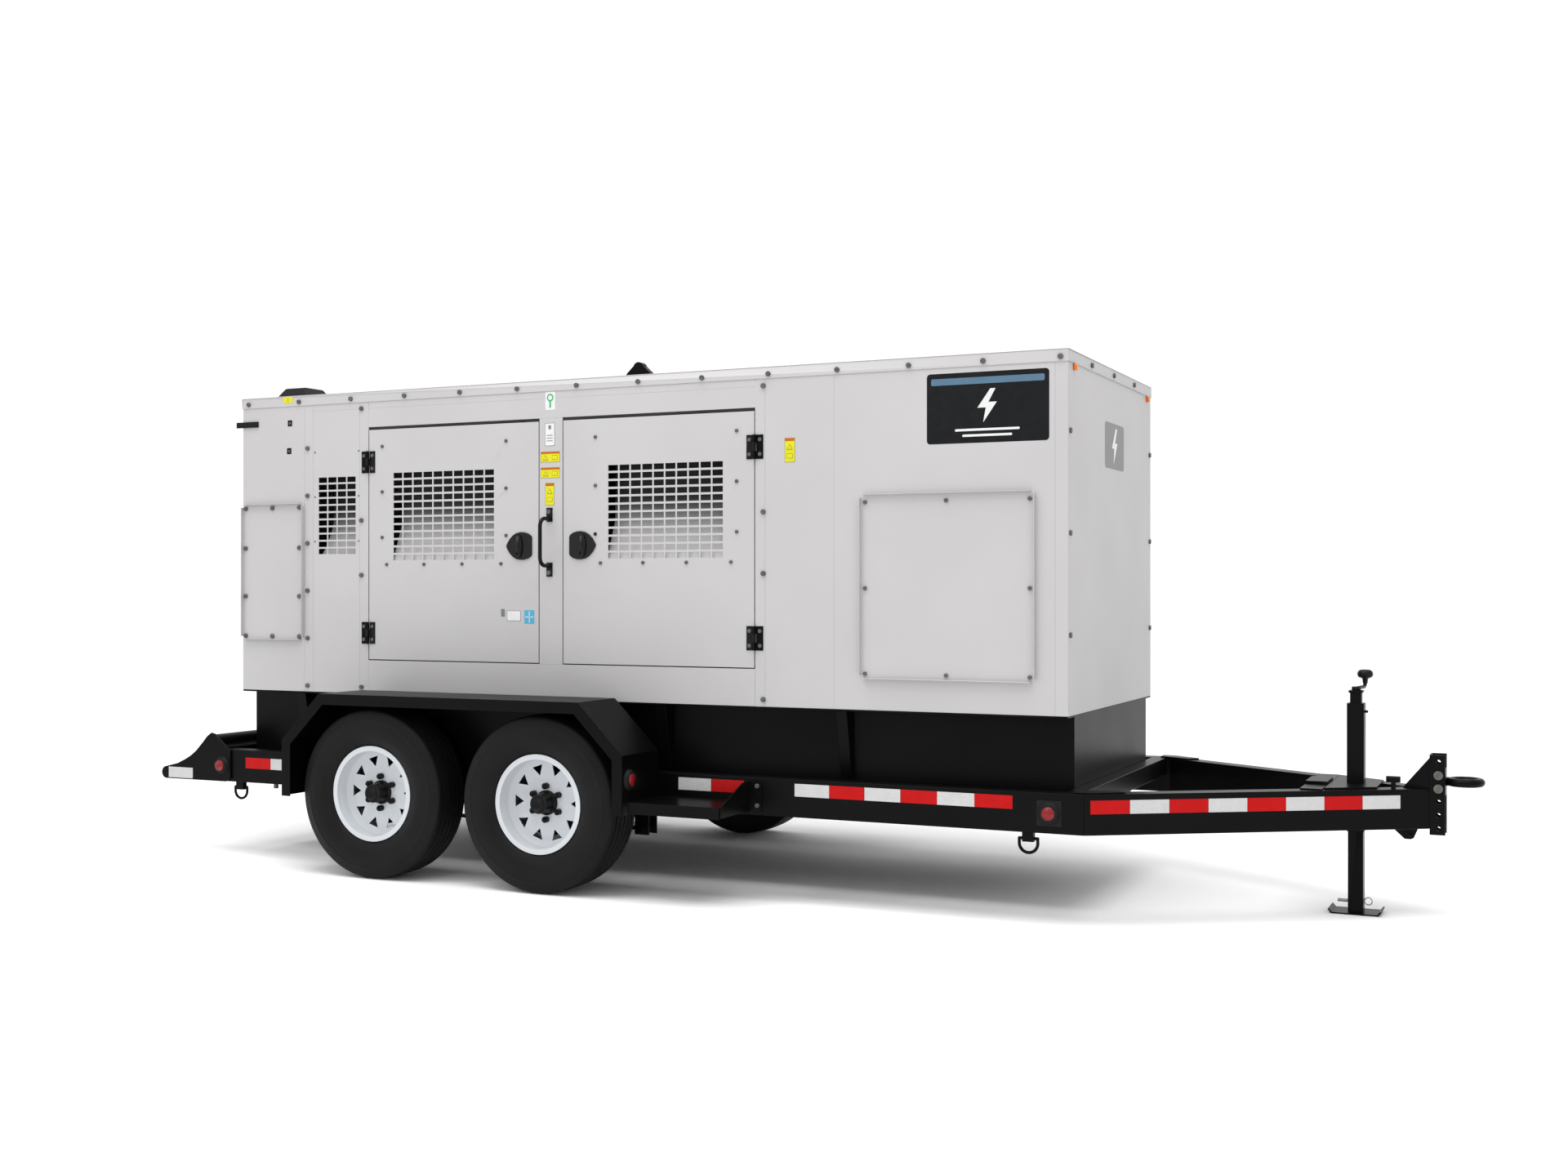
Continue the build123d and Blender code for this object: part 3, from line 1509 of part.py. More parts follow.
def build_nodes():
    nodes = {}
    nodes["side_rails"] = both([side_rail()])
    nodes["tongue_rails"] = both([tongue_rail()])
    nodes["crossmembers"] = crossmembers()
    nodes["rear_end_plates"] = both([rear_end_plate()])
    nodes["rear_bumper"] = rear_bumper()
    nodes["lamp_grommets"] = lamp_grommets()
    nodes["lamp_lenses"] = lamp_lenses() + marker_lights()
    nodes["hitch_channel"] = hitch_channel()
    nodes["lunette_ring"] = [lunette_ring()]
    nodes["jack_outer_tube"] = [jack_outer_tube()]
    nodes["jack_leg"] = [jack_leg()]
    nodes["jack_crank"] = [jack_crank()]
    nodes["tongue_fittings"] = [jack_mount(), *tongue_fittings()]
    nodes["axle_beams"] = axle_beams()
    nodes["leaf_springs"] = leaf_springs()
    nodes["spring_hangers"] = spring_hangers()
    fender = near_fender()
    nodes["near_fender"] = fender
    nodes["far_fender"] = far(fender)
    nodes["side_steps"] = both(side_step())
    brackets = [tie_down_bracket(ring_rear_x), tie_down_bracket(ring_front_x)]
    nodes["tie_down_brackets"] = both(brackets)
    for name, x in (("rear", ring_rear_x), ("front", ring_front_x)):
        ring = tie_down_ring(x)
        nodes["ring_" + name + "_near"] = [ring]
        nodes["ring_" + name + "_far"] = far([ring])
    tyre = tyre_shape()
    wheel = [rim_shape(), hub_shape(), hub_cap_shape(), *lug_shapes()]
    for name, x in (("rear", rear_axle_x), ("front", front_axle_x)):
        for side_name, side in (("near", -1), ("far", 1)):
            label = name + "_" + side_name
            nodes["tyre_" + label] = [place_wheel(tyre, x, side)]
            nodes["wheel_" + label] = [place_wheel(piece, x, side) for piece in wheel]
    nodes["base_tank"] = [base_tank(), *tank_ribs()]
    wall = near_wall()
    nodes["near_wall"] = wall
    nodes["far_wall"] = far(wall)
    nodes["front_wall"] = [front_wall()]
    nodes["rear_frame"] = rear_frame()
    nodes["rear_door"] = [rear_door()]
    nodes["roof"] = roof()
    for name, edges, outward in (
        ("rear", rear_door_edges, -1),
        ("front", front_door_edges, 1),
    ):
        panel = door(edges, outward)
        handle = latch_handle(edges, outward)
        nodes["door_" + name + "_near"] = panel
        nodes["door_" + name + "_far"] = far(panel)
        nodes["latch_" + name + "_near"] = [handle]
        nodes["latch_" + name + "_far"] = far([handle])
    nodes["access_covers"] = access_covers()
    nodes["hinge_leaves"] = hinge_leaves()
    nodes["grab_handles"] = both([grab_handle()])
    nodes["fasteners"] = fasteners()
    nodes["lifting_eye"] = [lifting_eye()]
    nodes["roof_cover"] = [roof_cover()]
    nodes["engine"] = [engine()]
    nodes["alternator"] = [alternator()]
    nodes["radiator"] = [radiator()]
    nodes["silencer"] = [silencer()]
    nodes["control_panel"] = [control_panel()]
    nodes["battery"] = [battery()]
    nodes["cooling_fan"] = [cooling_fan()]
    return nodes


def write_nodes(nodes):
    for name, shapes in nodes.items():
        solids = []
        for shape in shapes:
            solids += shape.solids()
        export_step(Compound(solids), os.path.join("parts", name + ".step"))
        print(name, len(solids))
    print(len(nodes), "nodes")


write_nodes(build_nodes())
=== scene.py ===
import itertools
import json
import math

import bmesh
import bpy
import numpy as np
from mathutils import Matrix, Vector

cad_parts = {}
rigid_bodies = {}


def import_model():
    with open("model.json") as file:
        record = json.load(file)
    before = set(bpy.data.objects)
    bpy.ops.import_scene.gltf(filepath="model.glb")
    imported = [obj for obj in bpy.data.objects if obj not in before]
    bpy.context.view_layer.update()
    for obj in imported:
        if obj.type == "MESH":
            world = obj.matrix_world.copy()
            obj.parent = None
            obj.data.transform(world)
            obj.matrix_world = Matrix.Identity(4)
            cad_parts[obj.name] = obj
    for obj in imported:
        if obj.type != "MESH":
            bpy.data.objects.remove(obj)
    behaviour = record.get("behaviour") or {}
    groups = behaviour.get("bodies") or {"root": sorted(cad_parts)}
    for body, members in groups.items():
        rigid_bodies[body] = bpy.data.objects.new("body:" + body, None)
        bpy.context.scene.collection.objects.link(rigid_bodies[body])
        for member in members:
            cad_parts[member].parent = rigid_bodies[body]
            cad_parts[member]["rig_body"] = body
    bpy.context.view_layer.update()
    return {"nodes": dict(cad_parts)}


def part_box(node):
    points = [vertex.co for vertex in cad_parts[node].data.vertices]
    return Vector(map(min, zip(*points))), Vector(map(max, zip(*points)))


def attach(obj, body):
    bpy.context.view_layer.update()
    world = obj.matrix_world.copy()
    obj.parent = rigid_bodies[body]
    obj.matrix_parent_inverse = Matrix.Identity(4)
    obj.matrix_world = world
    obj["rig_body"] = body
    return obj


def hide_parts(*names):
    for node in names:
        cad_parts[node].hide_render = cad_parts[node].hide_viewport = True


# %% [markdown]
# # Towable diesel generator
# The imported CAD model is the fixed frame. Each cell below gives one real piece or finish its
# surface. Lengths are metres, +X runs to the hitch and +Y to the hidden side.

# %% Load the frame
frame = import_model()
nodes = frame["nodes"]

# %% [markdown]
# ## Placing finished meshes
# Every new piece is a mesh worked out as arrays, with its place in its vertices. The helpers make
# the arrays of simple shapes and turn them into an object, which then rides on a rigid body.


# %% Mesh helpers
def make_mesh(name, points, faces, material, smooth=True):
    """Object at the origin from an array of points and a list of faces."""
    mesh = bpy.data.meshes.new(name)
    mesh.from_pydata(np.asarray(points, float).reshape(-1, 3).tolist(), [], faces)
    mesh.polygons.foreach_set("use_smooth", [smooth] * len(mesh.polygons))
    mesh.update()
    made = bpy.data.objects.new(name, mesh)
    bpy.context.scene.collection.objects.link(made)
    made.data.materials.append(material)
    return made


def grid_faces(rows, columns, close_rows=False, close_columns=False):
    """Quads of a grid of points; a closed direction joins its last line to its first."""
    row_count = rows if close_rows else rows - 1
    column_count = columns if close_columns else columns - 1
    i, j = np.meshgrid(np.arange(row_count), np.arange(column_count), indexing="ij")
    a = i * columns + j
    b = i * columns + (j + 1) % columns
    c = ((i + 1) % rows) * columns + (j + 1) % columns
    d = ((i + 1) % rows) * columns + j
    return np.stack([a, b, c, d], -1).reshape(-1, 4).tolist()


def rounded_box(x, y, z, radius):
    """Points and faces of a box with rolled edges.

    Each face is a 2 x 2 grid pulled in by the radius, joined by strips along the edges and
    triangles at the corners, so a narrow bevel runs round every edge.
    """
    low = np.array([x[0], y[0], z[0]])
    high = np.array([x[1], y[1], z[1]])
    radius = min(radius, 0.45 * float((high - low).min()))
    points = []
    index = {}
    for ends in itertools.product((0, 1), repeat=3):
        corner = np.where(ends, high, low)
        inward = np.where(ends, -1.0, 1.0) * radius
        for axis in range(3):
            spot = corner + inward
            spot[axis] = corner[axis]
            index[(*ends, axis)] = len(points)
            points.append(spot)
    faces = []
    for axis in range(3):
        other = [k for k in range(3) if k != axis]
        for side in (0, 1):
            ring = []
            for u, v in ((0, 0), (1, 0), (1, 1), (0, 1)):
                key = [0, 0, 0]
                key[axis] = side
                key[other[0]] = u
                key[other[1]] = v
                ring.append(index[key[0], key[1], key[2], axis])
            if (side == 1) == (axis != 1):
                faces.append(ring)
            else:
                faces.append(ring[::-1])
    for axis in range(3):
        first, second = [k for k in range(3) if k != axis]
        for u, v in itertools.product((0, 1), repeat=2):
            start = [0, 0, 0]
            start[first] = u
            start[second] = v
            end = list(start)
            end[axis] = 1
            ring = [index[(*key, way)] for key, way in (
                (start, first), (end, first), (end, second), (start, second)
            )]
            faces.append(outward(points, ring, (low + high) / 2))
    for ends in itertools.product((0, 1), repeat=3):
        ring = [index[(*ends, axis)] for axis in range(3)]
        faces.append(outward(points, ring, (low + high) / 2))
    return np.array(points), faces


def outward(points, ring, middle):
    """The ring of point numbers, turned round if its face looks towards the middle."""
    p = [points[k] for k in ring]
    normal = np.cross(p[1] - p[0], p[2] - p[0])
    centre = sum(p) / len(p)
    return ring if float(normal @ (centre - middle)) >= 0 else ring[::-1]


def joined(parts):
    """One set of points and faces from several."""
    points = []
    faces = []
    base = 0
    for part_points, part_faces in parts:
        points.append(np.asarray(part_points, float))
        faces += [[k + base for k in face] for face in part_faces]
        base += len(part_points)
    return np.concatenate(points), faces


def mirrored(part):
    """The part's mirror image across the middle plane, with its faces still outwards."""
    points = np.array(part[0], float)
    points[:, 1] *= -1
    return points, [list(face)[::-1] for face in part[1]]


def both_sides(parts):
    """The parts and their mirror images."""
    return list(parts) + [mirrored(part) for part in parts]


def box_between(x0, x1, y0, y1, z0, z1, radius):
    """Box with rolled edges between two places along each axis."""
    return rounded_box(sorted((x0, x1)), sorted((y0, y1)), sorted((z0, z1)), radius)


def turned_profile(profile, axis_point, axis, count):
    """Closed profile of (distance along the axis, radius) pairs turned round a "y" or "z" axis."""
    profile = np.asarray(profile, float)
    angle = np.linspace(0, 2 * math.pi, count, endpoint=False)
    along = np.repeat(profile[None, :, 0], count, 0)
    radius = np.repeat(profile[None, :, 1], count, 0)
    u = radius * np.cos(angle)[:, None]
    v = radius * np.sin(angle)[:, None]
    faces = grid_faces(count, len(profile), close_rows=True, close_columns=True)
    if axis == "y":
        points = np.stack([u, along, v], -1)
    else:
        points = np.stack([u, v, along], -1)
        faces = [face[::-1] for face in faces]
    return points.reshape(-1, 3) + np.asarray(axis_point, float), faces


# %% [markdown]
# ## Shared finish groups
# Paint, rubber and plastic all show the same three things at different strengths: a fine grain, a
# slow unevenness of tone, and dust that gathers low down. One node group holds the first two and
# another the dust, so every material says only how strong they are. A third fades by height.


# %% Grain group
def new_group(name, inputs, outputs):
    """Node group with labelled sockets, and its input and output nodes."""
    group = bpy.data.node_groups.new(name, "ShaderNodeTree")
    for label, kind, value in inputs:
        socket = group.interface.new_socket(label, in_out="INPUT", socket_type=kind)
        if value is not None:
            socket.default_value = value
    for label, kind in outputs:
        group.interface.new_socket(label, in_out="OUTPUT", socket_type=kind)
    start = group.nodes.new("NodeGroupInput")
    end = group.nodes.new("NodeGroupOutput")
    return group, start, end


def set_inputs(node, values):
    """Give input sockets their values, by name or number."""
    for key, value in values.items():
        node.inputs[key].default_value = value


def grain_group():
    """Height for a bump from fine noise, and a slow mask from coarse noise."""
    group, start, end = new_group(
        "surface_grain",
        [("Fine", "NodeSocketFloat", 400.0), ("Coarse", "NodeSocketFloat", 2.0)],
        [("Height", "NodeSocketFloat"), ("Slow", "NodeSocketFloat")],
    )
    place = group.nodes.new("ShaderNodeTexCoord")
    fine = group.nodes.new("ShaderNodeTexNoise")
    set_inputs(fine, {"Detail": 3.0})
    coarse = group.nodes.new("ShaderNodeTexNoise")
    set_inputs(coarse, {"Detail": 4.0})
    link = group.links.new
    link(place.outputs["Object"], fine.inputs["Vector"])
    link(place.outputs["Object"], coarse.inputs["Vector"])
    link(start.outputs["Fine"], fine.inputs["Scale"])
    link(start.outputs["Coarse"], coarse.inputs["Scale"])
    link(fine.outputs["Fac"], end.inputs["Height"])
    link(coarse.outputs["Fac"], end.inputs["Slow"])
    return group


def dust_group():
    """Mask that is strongest near the ground and broken up by noise."""
    group, start, end = new_group(
        "ground_dust",
        [("Reach", "NodeSocketFloat", 0.6), ("Amount", "NodeSocketFloat", 0.3)],
        [("Mask", "NodeSocketFloat")],
    )
    place = group.nodes.new("ShaderNodeTexCoord")
    split = group.nodes.new("ShaderNodeSeparateXYZ")
    fade = group.nodes.new("ShaderNodeMapRange")
    set_inputs(fade, {"To Min": 1.0, "To Max": 0.0})
    noise = group.nodes.new("ShaderNodeTexNoise")
    set_inputs(noise, {"Scale": 9.0, "Detail": 6.0})
    times = group.nodes.new("ShaderNodeMath")
    times.operation = "MULTIPLY"
    scaled = group.nodes.new("ShaderNodeMath")
    scaled.operation = "MULTIPLY"
    link = group.links.new
    link(place.outputs["Object"], split.inputs["Vector"])
    link(place.outputs["Object"], noise.inputs["Vector"])
    link(split.outputs["Z"], fade.inputs["Value"])
    link(start.outputs["Reach"], fade.inputs["From Max"])
    link(fade.outputs["Result"], times.inputs[0])
    link(noise.outputs["Fac"], times.inputs[1])
    link(times.outputs["Value"], scaled.inputs[0])
    link(start.outputs["Amount"], scaled.inputs[1])
    link(scaled.outputs["Value"], end.inputs["Mask"])
    return group


def height_group():
    """Mask that grows smoothly from 0 at the Low height to 1 at the High height."""
    group, start, end = new_group(
        "height_fade",
        [("Low", "NodeSocketFloat", 0.0), ("High", "NodeSocketFloat", 1.0)],
        [("Mask", "NodeSocketFloat")],
    )
    place = group.nodes.new("ShaderNodeTexCoord")
    split = group.nodes.new("ShaderNodeSeparateXYZ")
    fade = group.nodes.new("ShaderNodeMapRange")
    fade.interpolation_type = "SMOOTHSTEP"
    link = group.links.new
    link(place.outputs["Object"], split.inputs["Vector"])
    link(split.outputs["Z"], fade.inputs["Value"])
    link(start.outputs["Low"], fade.inputs["From Min"])
    link(start.outputs["High"], fade.inputs["From Max"])
    link(fade.outputs["Result"], end.inputs["Mask"])
    return group


grain = grain_group()
dust = dust_group()
height_fade = height_group()
print("groups", grain.name, dust.name, height_fade.name)


# %% [markdown]
# ## One way to mix a finish
# A finish here is a base colour, a second tone it drifts towards, the dust over it, and a bump.
# One function builds the node tree, and each real finish calls it with its own values.


# %% Finish builder
mix_first = 6
mix_second = 7
mix_colour = 2
dust_colour = (0.32, 0.30, 0.27, 1.0)


def finish_material(
    name,
    colour,
    tone,
    roughness,
    metallic=0.0,
    fine=500.0,
    coarse=2.0,
    bump=0.0002,
    dust_amount=0.0,
    dust_reach=0.6,
    coat=0.0,
    mirror=0.5,
):
    """Material that drifts from colour to tone; mirror is the strength of the plain reflection."""
    material = bpy.data.materials.new(name)
    material.use_nodes = True
    tree = material.node_tree
    link = tree.links.new
    shader = tree.nodes["Principled BSDF"]
    set_inputs(shader, {"Metallic": metallic, "Specular IOR Level": mirror})
    set_inputs(shader, {"Coat Weight": coat, "Coat Roughness": 0.15})
    surface = tree.nodes.new("ShaderNodeGroup")
    surface.node_tree = grain
    set_inputs(surface, {"Fine": fine, "Coarse": coarse})
    spread = tree.nodes.new("ShaderNodeMapRange")
    set_inputs(spread, {"From Min": 0.35, "From Max": 0.65})
    link(surface.outputs["Slow"], spread.inputs["Value"])
    mixed = tree.nodes.new("ShaderNodeMix")
    mixed.data_type = "RGBA"
    set_inputs(mixed, {mix_first: (*colour, 1.0), mix_second: (*tone, 1.0)})
    link(spread.outputs["Result"], mixed.inputs[0])
    dusted = tree.nodes.new("ShaderNodeMix")
    dusted.data_type = "RGBA"
    set_inputs(dusted, {mix_second: dust_colour})
    low = tree.nodes.new("ShaderNodeGroup")
    low.node_tree = dust
    set_inputs(low, {"Reach": dust_reach, "Amount": dust_amount})
    link(mixed.outputs[mix_colour], dusted.inputs[mix_first])
    link(low.outputs["Mask"], dusted.inputs[0])
    link(dusted.outputs[mix_colour], shader.inputs["Base Color"])
    rough = tree.nodes.new("ShaderNodeMapRange")
    set_inputs(rough, {"To Min": max(roughness - 0.06, 0.02), "To Max": min(roughness + 0.08, 1.0)})
    link(surface.outputs["Slow"], rough.inputs["Value"])
    link(rough.outputs["Result"], shader.inputs["Roughness"])
    relief = tree.nodes.new("ShaderNodeBump")
    set_inputs(relief, {"Distance": bump, "Strength": 0.6})
    link(surface.outputs["Height"], relief.inputs["Height"])
    link(relief.outputs["Normal"], shader.inputs["Normal"])
    return material


# %% [markdown]
# ## The finishes of this machine
# The canopy is powder coated off-white: fine orange peel, almost no tone drift. Frame, tank and
# fenders are satin black with a little road dust. Wheels are cool white enamel under a clear coat.

# %% Paint, rubber and metal finishes
canopy_paint = finish_material(
    "canopy_powder_coat", (0.430, 0.421, 0.425), (0.412, 0.403, 0.407), 0.48, fine=900, bump=0.00006,
    mirror=0.25,
)
frame_paint = finish_material(
    "frame_satin_black", (0.0014, 0.0014, 0.0015), (0.0024, 0.0024, 0.0026), 0.34, fine=700,
    bump=0.0001, dust_amount=0.002, mirror=0.075,
)
tyre_rubber = finish_material(
    "tyre_rubber", (0.0036, 0.0036, 0.0038), (0.0058, 0.0058, 0.0058), 0.50, fine=1200, coarse=7,
    bump=0.0002, dust_amount=0.004, dust_reach=0.75, mirror=0.12,
)
rim_enamel = finish_material(
    "rim_white_enamel", (0.52, 0.545, 0.57), (0.49, 0.51, 0.535), 0.30, fine=600, bump=0.00005,
    coat=0.15, dust_amount=0.03, mirror=0.35,
)
zinc = finish_material(
    "screw_olive_zinc", (0.075, 0.078, 0.068), (0.115, 0.118, 0.104), 0.40, metallic=0.5, coarse=60,
    bump=0.0001, mirror=0.3,
)
lamp_rubber = finish_material(
    "lamp_holder_rubber", (0.006, 0.006, 0.006), (0.009, 0.009, 0.009), 0.55, fine=900, bump=0.0002,
    mirror=0.12,
)
black_plastic = finish_material(
    "moulded_black_plastic", (0.0034, 0.0034, 0.0037), (0.0052, 0.0052, 0.0054), 0.36, fine=1500,
    bump=0.00015, mirror=0.14,
)
latch_plastic = finish_material(
    "latch_nylon", (0.0045, 0.0045, 0.0048), (0.0062, 0.0062, 0.0065), 0.30, fine=1800, bump=0.0002,
    mirror=0.22,
)
red_lens = finish_material(
    "red_lens", (0.22, 0.008, 0.010), (0.16, 0.005, 0.007), 0.20, fine=260, coarse=40, bump=0.0006,
    coat=0.1, mirror=0.25,
)
amber_lens = finish_material(
    "amber_lens", (0.80, 0.20, 0.008), (0.66, 0.14, 0.008), 0.16, fine=260, coarse=40, bump=0.0006,
    coat=0.1, mirror=0.25,
)
engine_paint = finish_material(
    "engine_enamel", (0.05, 0.055, 0.06), (0.07, 0.07, 0.075), 0.45, fine=300, bump=0.0004
)
cast_grey = finish_material(
    "cast_housing", (0.16, 0.16, 0.165), (0.21, 0.21, 0.21), 0.55, fine=160, bump=0.0008
)
pipe_steel = finish_material(
    "aluminised_steel", (0.36, 0.35, 0.34), (0.28, 0.26, 0.25), 0.40, metallic=0.9, coarse=12
)
galvanised = finish_material(
    "zinc_tube", (0.30, 0.30, 0.31), (0.38, 0.38, 0.39), 0.38, metallic=0.8, coarse=30
)


# %% [markdown]
# ## Baffle with painted shade
# The sheet behind each grille is a slightly lighter copy of the canopy paint at its foot, as
# painted light. Higher up, where it turns in towards the engine, its colour fades to near black
# with height as painted shade.


# %% Baffle paint with painted shade
def finish_with_painted_shade(name, low, high):
    """Lighter canopy paint that darkens to near black between two heights, as painted shade."""
    material = finish_material(name, (0.50, 0.492, 0.496), (0.46, 0.452, 0.456), 0.6, fine=500, mirror=0.1)
    tree = material.node_tree
    shader = tree.nodes["Principled BSDF"]
    fade = tree.nodes.new("ShaderNodeGroup")
    fade.node_tree = height_fade
    set_inputs(fade, {"Low": low, "High": high})
    # Painted shade: the near black that the baffle colour fades to towards its top.
    painted_shade = tree.nodes.new("ShaderNodeMix")
    painted_shade.data_type = "RGBA"
    painted_shade.inputs[mix_second].default_value = (0.022, 0.022, 0.022, 1.0)
    tree.links.new(shader.inputs["Base Color"].links[0].from_socket, painted_shade.inputs[mix_first])
    tree.links.new(fade.outputs["Mask"], painted_shade.inputs[0])
    tree.links.new(painted_shade.outputs[mix_colour], shader.inputs["Base Color"])
    return material


# Baffle paint that darkens from 1.455 m to 1.665 m height as painted shade.
baffle_shaded_paint = finish_with_painted_shade("baffle_painted_shade", 1.455, 1.665)

# %% [markdown]
# ## Giving the CAD pieces their finish
# Pieces whose CAD shape is right stay as they are and only take a finish. A table by name start
# is enough, because the names say what each piece is.

# %% Finish of each CAD node
wall_starts = ("near_wall", "far_wall", "front_wall", "roof", "access_covers")
door_starts = ("rear_frame", "rear_door", "door_")
by_start = (
    (black_plastic, ("roof_cover", "latch_", "jack_crank", "battery", "cooling_fan")),
    (canopy_paint, wall_starts + door_starts),
    (zinc, ("fasteners",)),
    (tyre_rubber, ("tyre_",)),
    (rim_enamel, ("wheel_",)),
    (lamp_rubber, ("lamp_grommets",)),
    (red_lens, ("lamp_lenses",)),
    (engine_paint, ("engine", "radiator", "control_panel")),
    (cast_grey, ("alternator",)),
    (pipe_steel, ("silencer",)),
)


def finish_for(name):
    """Finish of the first table row with a start of the name; the rest is frame black."""
    for material, starts in by_start:
        if name.startswith(starts):
            return material
    return frame_paint


for node_name, node in nodes.items():
    node.data.materials.clear()
    node.data.materials.append(finish_for(node_name))
print("finished", len(nodes), "CAD pieces")

# %% [markdown]
# ## Bevelled pieces in more than one finish
# Folded and welded sheet has soft edges that catch a thin line of light, and some nodes hold
# parts of two finishes, such as a white wheel with black nuts. A merged copy of the CAD surface
# with a small bevel shows both: each face takes its finish from where its middle lies.


# %% Bevelled copies
def face_centres(mesh):
    """Array of the middle of every face."""
    centres = np.zeros(len(mesh.polygons) * 3)
    mesh.polygons.foreach_get("center", centres)
    return centres.reshape(-1, 3)


def bevelled_copy(node_name, materials, rule, width=0.0012, body=None):
    """Merged copy of a CAD node with rolled edges; rule gives a material number per face.

    A width of zero keeps every triangle, which suits turned pieces with many round holes.
    """
    source = nodes[node_name]
    mesh = source.data.copy()
    made = bpy.data.objects.new(node_name + "_shown", mesh)
    bpy.context.scene.collection.objects.link(made)
    work = bmesh.new()
    work.from_mesh(mesh)
    bmesh.ops.remove_doubles(work, verts=work.verts, dist=0.00001)
    if width > 0:
        bmesh.ops.dissolve_limit(
            work, angle_limit=math.radians(1.0), verts=work.verts, edges=work.edges
        )
    work.to_mesh(mesh)
    work.free()
    mesh.materials.clear()
    for material in materials:
        mesh.materials.append(material)
    numbers = rule(face_centres(mesh)).astype(np.int32)
    mesh.polygons.foreach_set("material_index", numbers)
    mesh.polygons.foreach_set("use_smooth", np.ones(len(mesh.polygons), bool))
    mesh.set_sharp_from_angle(angle=math.radians(30))
    if width > 0:
        bevel = made.modifiers.new("rolled_edges", "BEVEL")
        bevel.width = width
        bevel.segments = 2
        bevel.limit_method = "ANGLE"
        bevel.angle_limit = math.radians(40)
        bevel.use_clamp_overlap = True
        bevel.harden_normals = True
    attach(made, body or source["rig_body"])
    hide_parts(node_name)
    return made


def one_finish(centres):
    """The first material everywhere."""
    return np.zeros(len(centres))


def near_any(values, places, reach):
    """True where a value lies within reach of one of the places."""
    return np.any([np.abs(values - place) < reach for place in places], axis=0)


# %% Wheels in white enamel with black hub caps and nuts
axle_x = {"front": -0.6295, "rear": -1.4858}
wheel_y = 0.944
wheel_z = 0.370
cap_radius = 0.0535
cap_face = 0.0142
nut_circle = 0.0699
nut_reach = 0.0140
nut_face = 0.0145
drum_radius = 0.1405
disc_back = 0.0078


def wheel_rule(x, side):
    """Black where the face lies near the middle and outside the disc, or behind the disc."""

    def rule(centres):
        radius = np.hypot(centres[:, 0] - x, centres[:, 2] - wheel_z)
        out = centres[:, 1] * side - wheel_y
        cap = (radius < cap_radius) & (out > cap_face)
        nuts = (np.abs(radius - nut_circle) < nut_reach) & (out > nut_face)
        drum = (radius < drum_radius) & (out < disc_back)
        return (cap | nuts | drum).astype(int)

    return rule


for axle, x in axle_x.items():
    for side_name, side in (("near", -1), ("far", 1)):
        bevelled_copy(
            "wheel_" + axle + "_" + side_name, (rim_enamel, black_plastic), wheel_rule(x, side), 0
        )
print("wheels", 2 * len(axle_x))


# %% Doors with black latch plates and hinge leaves, and a baffle behind each grille
wall_face = 0.686
skin_film = 0.0001
latch_x = (-0.9445, -0.6287)
latch_z = 1.449
latch_half_width = 0.073
latch_half_height = 0.0625
hinge_side_x = (-1.735, 0.155)
hinge_pin_x = (-1.779, 0.2034)
hinge_z = (1.844, 1.058)
barrel_reach = 0.0085
leaf_thickness = 0.0031
leaf_screw_offset = 0.030
screw_reach = 0.009
grille_x = (-1.3, -0.25)
grille_half_width = 0.36
baffle_front = -0.0285
baffle_low = 1.372
baffle_high = 1.830


def door_rule(side):
    """Number of the finish for each face of a door.

    What stands proud of the skin is a latch plate near a latch, a hinge leaf towards the hinges
    and a screw head elsewhere. The sheet behind the grille takes the baffle paint that darkens with
    height as painted shade.
    """

    def rule(centres):
        out = centres[:, 1] * side - wall_face
        proud = out > skin_film
        x = centres[:, 0]
        z = centres[:, 2]
        latch = proud & (np.abs(z - latch_z) < latch_half_height) & near_any(x, latch_x, latch_half_width)
        hinge = proud & ((x < hinge_side_x[0]) | (x > hinge_side_x[1]))
        screw = proud & ~latch & ~hinge
        leaf_screw = hinge & (out > leaf_thickness)
        leaf_screw &= (
            near_any(np.abs(z - hinge_z[0]), (leaf_screw_offset,), screw_reach)
            | near_any(np.abs(z - hinge_z[1]), (leaf_screw_offset,), screw_reach)
        )
        barrel = near_any(x, hinge_pin_x, barrel_reach)
        window = near_any(x, grille_x, grille_half_width)
        # The baffle faces take the paint that darkens upwards as painted shade.
        baffle = (out < baffle_front) & (z > baffle_low) & (z < baffle_high) & window
        number = np.where(hinge, 1, np.where(baffle, 3, 0))
        number = np.where(latch, 4, number)
        number = np.where(screw | (leaf_screw & ~barrel), 2, number)
        return number

    return rule


for place in ("rear", "front"):
    for side_name, side in (("near", -1), ("far", 1)):
        bevelled_copy(
            "door_" + place + "_" + side_name,
            (canopy_paint, black_plastic, zinc, baffle_shaded_paint, latch_plastic),
            door_rule(side),
            0.0010,
        )
        bevelled_copy("latch_" + place + "_" + side_name, (latch_plastic,), one_finish, 0)
print("doors", 4)


# %% Hinge leaves, handles, arms and folded covers
leaf_screw_x = (-1.803, 0.2274)
leaf_middle_z = 1.451
leaf_span = 0.393
leaf_half_height = 0.042
arm_from_y = 0.6855
arm_from_x = -2.5312
handle_z = 1.464
handle_screw_offset = 0.133
handle_screw_reach = 0.011
handle_screw_y = (0.6912, 0.6975)


def leaf_rule(centres):
    """Screw heads on the leaves stand further out than the leaf and off the barrel."""
    out = np.abs(centres[:, 1]) - wall_face
    x = centres[:, 0]
    on_leaf = near_any(np.abs(centres[:, 2] - leaf_middle_z), (leaf_span,), leaf_half_height)
    heads = (out > leaf_thickness) & near_any(x, leaf_screw_x, barrel_reach)
    return (heads & on_leaf & ~near_any(x, hinge_pin_x, barrel_reach)).astype(int)


def arm_rule(centres):
    """The hinge arms of the rear door are black and stand outside the wall planes."""
    return ((np.abs(centres[:, 1]) > arm_from_y) | (centres[:, 0] < arm_from_x)).astype(int)


